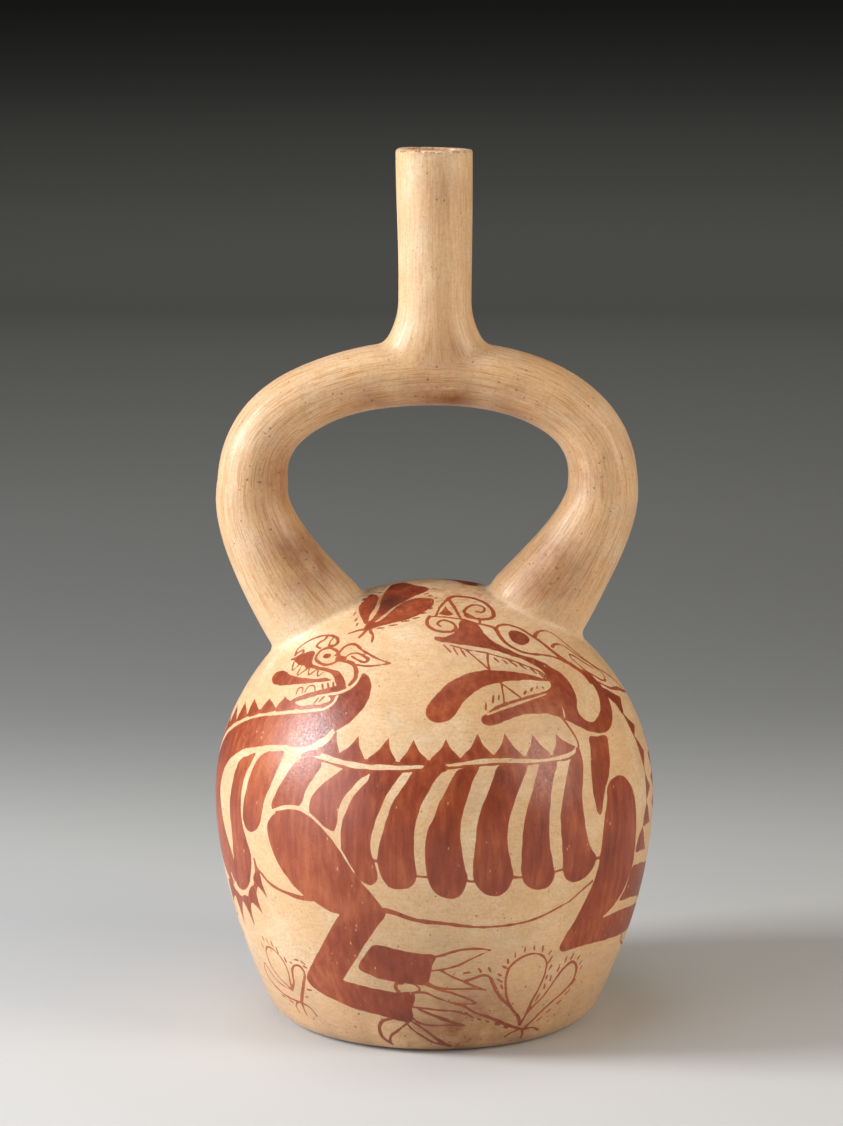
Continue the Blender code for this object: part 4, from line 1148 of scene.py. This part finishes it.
# Broad swells of the hand-built wall: six slow waves in chosen directions, none on the flat base.
def unevenness(points):
    chance = np.random.default_rng(7)
    total = np.zeros(len(points))
    for _ in range(6):
        way = chance.normal(size=3)
        way *= 2 * math.pi / chance.uniform(38, 80) / np.linalg.norm(way)
        total += np.sin(points @ way + chance.uniform(0, 6.28))
    return total / 3 * clayForm["unevenness"] * np.clip(points[:, 2] / 14, 0, 1)


# Chips broken from the rim: how far right of the middle, how far forward, reach and depth, in mm
chips = [(-4.6, 12.0, 1.7, 0.75), (-10.2, 7.4, 1.5, 0.4), (1.0, 12.5, 1.9, 0.3), (4.4, 11.9, 2.2, 0.55),
         (7.7, 9.9, 1.6, 0.6), (11.9, -3.5, 2.0, 0.5), (-6.5, -10.8, 2.4, 0.6)]


# Pulls points near each chip down and in by depth times (1 - (distance / reach)²).
def chipRim(points):
    for right, forward, reach, depth in chips:
        gap = np.linalg.norm(points - [right, -forward, rimTop], axis=1)
        share = np.clip(1 - (gap / reach)**2, 0, None)[:, None]
        points = points - share * depth * (points * [1, 1, 0] / clayForm["spoutRadius"] * 0.6 + [0, 0, 1])
    return points


# Welds the skins into one closed mesh, rounds its joints and gives it the unevenness of the hand.
def makeClay(name):
    mesh = bpy.data.meshes.new(name)
    mesh.from_pydata(np.concatenate(clay.points) * 0.001, [], clay.faces)
    grain = mesh.attributes.new("grain", "FLOAT_VECTOR", "POINT")
    grain.data.foreach_set("vector", np.concatenate(clay.grain).ravel())
    for note, values in (("lip", clay.lip), ("inside", clay.inside)):
        mesh.attributes.new(note, "FLOAT", "POINT").data.foreach_set("value", np.concatenate(values))
    mesh.polygons.foreach_set("material_index", np.concatenate(clay.finish).astype(np.int32))
    welded = bmesh.new()
    welded.from_mesh(mesh)
    bmesh.ops.remove_doubles(welded, verts=welded.verts, dist=0.00002)
    bmesh.ops.recalc_face_normals(welded, faces=welded.faces)
    gaps = sum(not e.is_manifold for e in welded.edges)
    welded.to_mesh(mesh)
    welded.free()
    print("welded:", len(mesh.vertices), "points,", len(mesh.polygons), "faces,", gaps, "open edges")

    points = np.empty(len(mesh.vertices) * 3)
    mesh.vertices.foreach_get("co", points)
    points = points.reshape(-1, 3) * 1000
    edges = np.empty(len(mesh.edges) * 2, np.int32)
    mesh.edges.foreach_get("vertices", edges)
    edges = edges.reshape(-1, 2)
    legs = np.maximum(*(nearJoint(points, ring[2], clayForm["softReach"]) for ring in outerLegs))
    spout = nearJoint(points, loop.at(outerSpout[0], outerSpout[1], 0.0), clayForm["softReach"] * 0.8)
    points = rubJoints(points, edges, np.maximum(legs, spout), clayForm["softTimes"])
    notes = {"joint": legs, "stainAndShade": stainAndShadeAt(points), "tube": streaksAt(points),
             "thinAndSheen": placeShare(points, thinAndSheenPlaces)}
    for note, values in notes.items():
        mesh.attributes.new(note, "FLOAT", "POINT").data.foreach_set("value", values)
    mesh.vertices.foreach_set("co", points.ravel() * 0.001)
    mesh.update()
    facing = np.empty(len(points) * 3)
    mesh.vertex_normals.foreach_get("vector", facing)
    offAxis = np.linalg.norm(points * [1, 1, 0], axis=1) > 0       # the poles stay where they are
    points = chipRim(points + facing.reshape(-1, 3) * (unevenness(points) * offAxis)[:, None])
    mesh.vertices.foreach_set("co", points.ravel() * 0.001)
    mesh.update()
    mesh.shade_smooth()
    piece = bpy.data.objects.new(name, mesh)
    bpy.context.scene.collection.objects.link(piece)
    return piece


# sRGB hex to linear red, green, blue and alpha.
def linear(text):
    parts = [int(text[i:i + 2], 16) / 255 for i in (1, 3, 5)]
    return (*(p / 12.92 if p <= 0.04045 else ((p + 0.055) / 1.055)**2.4 for p in parts), 1.0)


# Adds one node and gives back its output of that number or name. Settings are the node's own properties or
# the values of its sockets, and links are the sockets that feed it.
def addNode(tree, kind, settings=None, links=None, out=0):
    node = tree.nodes.new("ShaderNode" + kind)
    for key, value in (settings or {}).items():
        if isinstance(key, str) and hasattr(node, key):
            setattr(node, key, value)
        else:
            node.inputs[key].default_value = linear(value) if isinstance(value, str) else value
    for key, socket in (links or {}).items():
        tree.links.new(socket, node.inputs[key])
    return node.outputs[out]


def newFinish(name):
    finish = bpy.data.materials.new(name)
    finish.use_nodes = True
    return finish, finish.node_tree, finish.node_tree.nodes["Principled BSDF"]


# Cream slip: a fine white-firing clay wash rubbed with a pebble while leather hard, so it has a soft satin
# gloss, streaks that follow the pebble and the grain of the clay beneath it. Sizes in mm.
creamSlip = {
    "body": "#E2BB8C", "pale": "#F3DDBA", "deep": "#B87F4B", "rubbedAndShade": "#8E521F", "speck": "#5E3317",
    "smudge": "#B09A7C", "seam": "#F2E2C2", "worn": "#9C4F2C",
    "streak": 2.4,              # across one streak
    "fineStreak": 0.5,          # drawn about twice as coarse as the real ones, which would not show
    "cloud": 24.0,
    "dirt": 13.0,
    "grit": 0.9,                # drawn coarser than the real sand, which would not show
    "speckEvery": 2.6,
    "speckAcross": 0.6,         # the largest ones
    "reliefDepth": 0.07,
    "roughness": (0.33, 0.56),
    "powder": 0.12,             # the slip's fine dry powder, paler seen from the side
}


def creamFinish():
    s = creamSlip
    finish, tree, shader = newFinish("creamSlip")
    space = addNode(tree, "TexCoord", out="Object")
    grain = addNode(tree, "Attribute", {"attribute_name": "grain"}, out="Vector")
    lip, joint, stainAndShade, tube = (addNode(tree, "Attribute", {"attribute_name": name}, out="Fac")
                               for name in ("lip", "joint", "stainAndShade", "tube"))
    # Noises: patterns for each mm along the grain or for each metre in space, detail and roughness
    streak, fine, cloud, grit, dirt = (
        addNode(tree, "TexNoise", {"Scale": scale, "Detail": detail, "Roughness": rough},
                {"Vector": source})
        for scale, detail, rough, source in (
            (1 / s["streak"], 4.0, 0.62, grain), (1 / s["fineStreak"], 3.0, 0.6, grain),
            (1000 / s["cloud"], 6.0, 0.66, space), (1000 / s["grit"], 3.0, 0.7, space),
            (1000 / s["dirt"], 6.0, 0.75, space)))
    # Shares of the tints: each rises from 0 to its most as its source goes from low to high
    paler, shown, coarse, thin, sandy, dirty, patchy, seam, clean = (
        addNode(tree, "MapRange", {"From Min": low, "From Max": high, "To Min": least, "To Max": most},
                {"Value": source})
        for source, low, high, least, most in (
            (cloud, 0.46, 0.70, 0.0, 0.8), (tube, 0.0, 1.0, 0.22, 0.85), (streak, 0.50, 0.80, 0.0, 0.6),
            (fine, 0.47, 0.68, 0.0, 0.9), (grit, 0.46, 0.72, 0.0, 0.42), (dirt, 0.50, 0.72, 0.0, 0.40),
            (cloud, 0.32, 0.62, 0.0, 1.0), (joint, 0.70, 1.0, 0.0, 0.4), (cloud, 0.64, 0.54, 0.0, 1.0)))
    # The tube shows the pebble's streaks far more than the body does
    coarse, thin, handledAndShaded, seam, ridges = (
        addNode(tree, "Math", {"operation": "MULTIPLY"}, {0: one, 1: other})
        for one, other in ((coarse, shown), (thin, shown), (patchy, stainAndShade), (seam, streak), (fine, shown)))
    pit = addNode(tree, "TexVoronoi", {"Scale": 1000 / s["speckEvery"]}, {"Vector": space}, "Distance")
    size = s["speckAcross"] / 2 / s["speckEvery"]
    # No two specks are the same size, and they are larger and closer where the stains and the painted shade
    # are strong
    varied = pit
    for source, by in ((handledAndShaded, -0.16), (pit.node.outputs["Color"], 0.13)):
        varied = addNode(tree, "Math", {"operation": "MULTIPLY_ADD", 1: by}, {0: source, 2: varied})
    speck = addNode(tree, "MapRange", {"From Min": size * 1.5, "From Max": size * 0.6, "To Max": 0.75},
                    {"Value": varied})
    speck = addNode(tree, "Math", {"operation": "MULTIPLY"}, {0: speck, 1: clean})
    rim = addNode(tree, "Math", {"operation": "MULTIPLY_ADD", 2: -0.38}, {0: lip, 1: grit})
    rim = addNode(tree, "MapRange", {"From Min": 0.12, "From Max": 0.22, "To Max": 0.9}, {"Value": rim})
    colour = addNode(tree, "Mix", {"data_type": "RGBA", 6: s["body"], 7: s["pale"]}, {0: paler}, 2)
    # The rubbed brown follows the stain attribute, so it is real handling brown and also painted shade on
    # the lower body, with the darkening towards the base
    for share, tint in ((coarse, "deep"), (thin, "deep"), (sandy, "deep"), (dirty, "smudge"),
                        (handledAndShaded, "rubbedAndShade"), (seam, "seam"), (speck, "speck"), (rim, "worn")):
        colour = addNode(tree, "Mix", {"data_type": "RGBA", 7: s[tint]}, {0: share, 6: colour}, 2)
    gloss = addNode(tree, "MapRange", {"From Min": 0.35, "From Max": 0.65, "To Min": s["roughness"][0],
                                       "To Max": s["roughness"][1]}, {"Value": streak})
    ridges = addNode(tree, "Math", {"operation": "ADD"}, {0: ridges, 1: grit})
    ridges = addNode(tree, "Math", {"operation": "SUBTRACT"}, {0: ridges, 1: speck})
    relief = {"Strength": 1.0, "Distance": s["reliefDepth"] * 0.001}
    bump = addNode(tree, "Bump", relief, {"Height": ridges})
    for name, socket in (("Base Color", colour), ("Roughness", gloss), ("Normal", bump)):
        tree.links.new(socket, shader.inputs[name])
    shader.inputs["Sheen Weight"].default_value = s["powder"]
    shader.inputs["Sheen Roughness"].default_value = 0.4
    return finish


# Red slip: iron-rich clay brushed on thinly, then rubbed to a higher gloss than the cream. It is darker
# where the brush was full, and orange in fine lines and where the cream shows through. Its lighter orange
# also carries a painted sheen on the left side, where the light falls, and its smoke tint carries painted
# shade low on the body. The strokes of the ribs and legs run up the wall, and so do their streaks.
redSlip = {
    "body": "#964327", "thin": "#BF6A40", "full": "#6C2C1A", "smokeAndShade": "#4A241A", "nick": "#DDB285",
    "stroke": 2.2,              # across one pull of the brush
    "strokeLong": 7.0,          # how many times as long it is
    "cloud": 17.0,
    "grit": 0.9,
    "nickEvery": 2.9,
    "nickAcross": 0.62,
    "nickLong": 0.45,           # width of a nick as a share of its height
    "fineLine": 0.42,           # paint nearer than this to an edge is thin
    "reliefDepth": 0.06,
    "roughness": (0.27, 0.44),
}


def redFinish():
    s = redSlip
    finish, tree, shader = newFinish("redSlip")
    space = addNode(tree, "TexCoord", out="Object")
    inside, thinAndSheen, stainAndShade = (addNode(tree, "Attribute", {"attribute_name": name}, out="Fac")
                              for name in ("inside", "thinAndSheen", "stainAndShade"))
    upright, longer = (addNode(tree, "Mapping", {"Scale": (1.0, 1.0, share)}, {"Vector": space})
                       for share in (1 / s["strokeLong"], s["nickLong"]))
    pull, cloud, grit = (
        addNode(tree, "TexNoise", {"Scale": 1000 / s[size], "Detail": detail, "Roughness": rough},
                {"Vector": source})
        for size, detail, rough, source in (
            ("stroke", 4.0, 0.6, upright), ("cloud", 5.0, 0.6, space), ("grit", 3.0, 0.7, space)))
    both = addNode(tree, "Math", {"operation": "ADD"}, {0: pull, 1: cloud})
    # the lighter orange here also takes the painted sheen on the left side
    both = addNode(tree, "Math", {"operation": "MULTIPLY_ADD", 1: 0.22}, {0: thinAndSheen, 2: both})
    # Small chips of the slip, a little longer than wide, show the cream
    nick = addNode(tree, "TexVoronoi", {"Scale": 1000 / s["nickEvery"]}, {"Vector": longer}, "Distance")
    varied = addNode(tree, "Math", {"operation": "MULTIPLY_ADD", 1: 0.09},
                     {0: nick.node.outputs["Color"], 2: nick})
    size = s["nickAcross"] / 2 / s["nickEvery"]
    # Shares of the tints: each rises from 0 to its most as its source goes from low to high
    thin, full, edge, smokyAndShaded, nick, kept = (
        addNode(tree, "MapRange", {"From Min": low, "From Max": high, "To Max": most}, {"Value": source})
        for source, low, high, most in (
            (both, 1.02, 1.42, 0.85), (both, 1.0, 0.70, 0.75), (inside, s["fineLine"], 0.0, 0.35),
            (stainAndShade, 0.55, 1.3, 1.0), (varied, size * 1.4, size * 0.6, 0.75), (cloud, 0.32, 0.48, 1.0)))
    nick = addNode(tree, "Math", {"operation": "MULTIPLY"}, {0: nick, 1: kept})
    colour = addNode(tree, "Mix", {"data_type": "RGBA", 6: s["body"], 7: s["thin"]}, {0: thin}, 2)
    # The smoke tint follows the stain attribute: real smudging on the dome's leaves, and painted shade on
    # the red lines low on the body
    for share, tint in ((full, "full"), (edge, "thin"), (smokyAndShaded, "smokeAndShade"), (nick, "nick")):
        colour = addNode(tree, "Mix", {"data_type": "RGBA", 7: s[tint]}, {0: share, 6: colour}, 2)
    gloss = addNode(tree, "MapRange", {"From Min": 0.35, "From Max": 0.65, "To Min": s["roughness"][0],
                                       "To Max": s["roughness"][1]}, {"Value": grit})
    ridges = addNode(tree, "Math", {"operation": "ADD"}, {0: pull, 1: grit})
    relief = {"Strength": 1.0, "Distance": s["reliefDepth"] * 0.001}
    bump = addNode(tree, "Bump", relief, {"Height": ridges})
    for name, socket in (("Base Color", colour), ("Roughness", gloss), ("Normal", bump)):
        tree.links.new(socket, shader.inputs[name])
    return finish


# Bare fired clay of the hollow: dull orange, never slipped or rubbed
bareClay = {"body": "#B5673C", "sooty": "#7E4A30", "cloud": 14.0, "roughness": 0.85}


def bareFinish():
    s = bareClay
    finish, tree, shader = newFinish("bareClay")
    space = addNode(tree, "TexCoord", out="Object")
    cloud = addNode(tree, "TexNoise", {"Scale": 1000 / s["cloud"], "Detail": 5.0}, {"Vector": space})
    colour = addNode(tree, "Mix", {"data_type": "RGBA", 6: s["body"], 7: s["sooty"]}, {0: cloud}, 2)
    tree.links.new(colour, shader.inputs["Base Color"])
    shader.inputs["Roughness"].default_value = s["roughness"]
    return finish


vessel = makeClay("paintedVessel")
for finish in (creamFinish(), redFinish(), bareFinish()):
    vessel.data.materials.append(finish)
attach(vessel, "root")
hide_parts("vessel")
print("vessel made")

# Floor and backdrop in one sweep, pale on the floor, with painted shade that darkens it up the wall
sweep = {"width": 7.0, "front": -2.2, "back": 2.6, "bend": 1.2, "height": 3.2}
# Painted shade of the sweep: its colour at each distance behind the vessel in metres, measured along the
# floor and up the wall, in darker and lighter bands that stand in for how the light falls off
paperPaintedShade = {-0.4: "#D8DADA", 0.0: "#CBCDCD", 0.26: "#B2B4B3", 0.5: "#909291", 1.1: "#A2A4A2", 2.0: "#C0C3C0",
         2.6: "#BFC2BF", 3.1: "#A5A8A5", 3.45: "#737572", 3.75: "#313332"}


# A flat floor that bends up into a wall by a quarter circle.
def makeSweep():
    s = sweep
    turn = np.linspace(-math.pi / 2, 0, 24)
    y = np.concatenate([[s["front"]], s["back"] + s["bend"] * np.cos(turn), [s["back"] + s["bend"]]])
    z = np.concatenate([[0.0], s["bend"] + s["bend"] * np.sin(turn), [s["height"]]])
    rows = np.stack([np.stack([np.full(len(y), x), y, z], 1) for x in (-s["width"] / 2, s["width"] / 2)])
    count = len(y)
    k = np.arange(count - 1)
    faces = np.stack([k, k + count, k + count + 1, k + 1], 1)
    mesh = bpy.data.meshes.new("studioSweep")
    mesh.from_pydata(rows.reshape(-1, 3), [], faces.tolist())
    mesh.shade_smooth()
    finish, tree, shader = newFinish("paperPaintedShadeFinish")
    space = addNode(tree, "SeparateXYZ", links={0: addNode(tree, "TexCoord", out="Object")}, out="Y")
    away = addNode(tree, "Math", {"operation": "ADD"}, {0: space, 1: space.node.outputs["Z"]})
    near, far = min(paperPaintedShade), max(paperPaintedShade)
    away = addNode(tree, "MapRange", {"From Min": near, "From Max": far}, {"Value": away})
    paintedShades = addNode(tree, "ValToRGB", links={0: away}).node
    paintedShades.color_ramp.interpolation = "CARDINAL"
    stops = paintedShades.color_ramp.elements
    stops[0].color, stops[1].color = linear(paperPaintedShade[near]), linear(paperPaintedShade[far])
    for distance, shade in list(paperPaintedShade.items())[1:-1]:
        stops.new((distance - near) / (far - near)).color = linear(shade)
    tree.links.new(paintedShades.outputs[0], shader.inputs["Base Color"])
    shader.inputs["Roughness"].default_value = 0.9
    mesh.materials.append(finish)
    piece = bpy.data.objects.new("studioSweep", mesh)
    bpy.context.scene.collection.objects.link(piece)


makeSweep()

# Camera where the photograph was taken from, and the soft boxes
camera = {"place": (-0.0043, -1.1, 0.338), "tilt": 9.56, "lens": 106.98}
lights = {
    "keyBox": {"place": (-1.12, -0.16, 0.64), "aim": (0, 0, 0.14), "size": (0.38, 0.5), "power": 18.0,
               "tint": "#FCFCFF"},
    "topBox": {"place": (-0.10, 0.00, 1.15), "aim": (0, -0.05, 0.0), "size": (0.6, 0.5), "power": 2.8,
               "tint": "#FFFCF6"},
    "sideBox": {"place": (-1.15, -0.75, 0.28), "aim": (0, 0, 0.12), "size": (0.9, 0.8), "power": 7.5,
                "tint": "#F2F6FF"},
    "fillBox": {"place": (1.0, -0.48, 0.55), "aim": (0, 0, 0.14), "size": (0.5, 0.8), "power": 8.0,
                "tint": "#FFF1E0"},
}
air = {"colour": "#EBE6E0", "strength": 0.13}


def makeCamera():
    lens = bpy.data.cameras.new("camera")
    lens.lens = camera["lens"]
    lens.sensor_width = 36
    lens.clip_start = 0.05
    eye = bpy.data.objects.new("camera", lens)
    eye.location = camera["place"]
    eye.rotation_euler = (math.radians(90 - camera["tilt"]), 0, 0)
    bpy.context.scene.collection.objects.link(eye)
    bpy.context.scene.camera = eye


def makeLights():
    for name, box in lights.items():
        lamp = bpy.data.lights.new(name, "AREA")
        lamp.shape = "RECTANGLE"
        lamp.size, lamp.size_y = box["size"]
        lamp.energy = box["power"]
        lamp.color = linear(box["tint"])[:3]
        piece = bpy.data.objects.new(name, lamp)
        piece.location = box["place"]
        piece.rotation_euler = (Vector(box["aim"]) - piece.location).to_track_quat("-Z", "Y").to_euler()
        bpy.context.scene.collection.objects.link(piece)
    world = bpy.data.worlds.new("studioAir")
    world.use_nodes = True
    world.node_tree.nodes["Background"].inputs["Color"].default_value = linear(air["colour"])
    world.node_tree.nodes["Background"].inputs["Strength"].default_value = air["strength"]
    bpy.context.scene.world = world
    bpy.context.scene.view_settings.view_transform = "Standard"


makeCamera()
makeLights()
print("camera and lights placed")
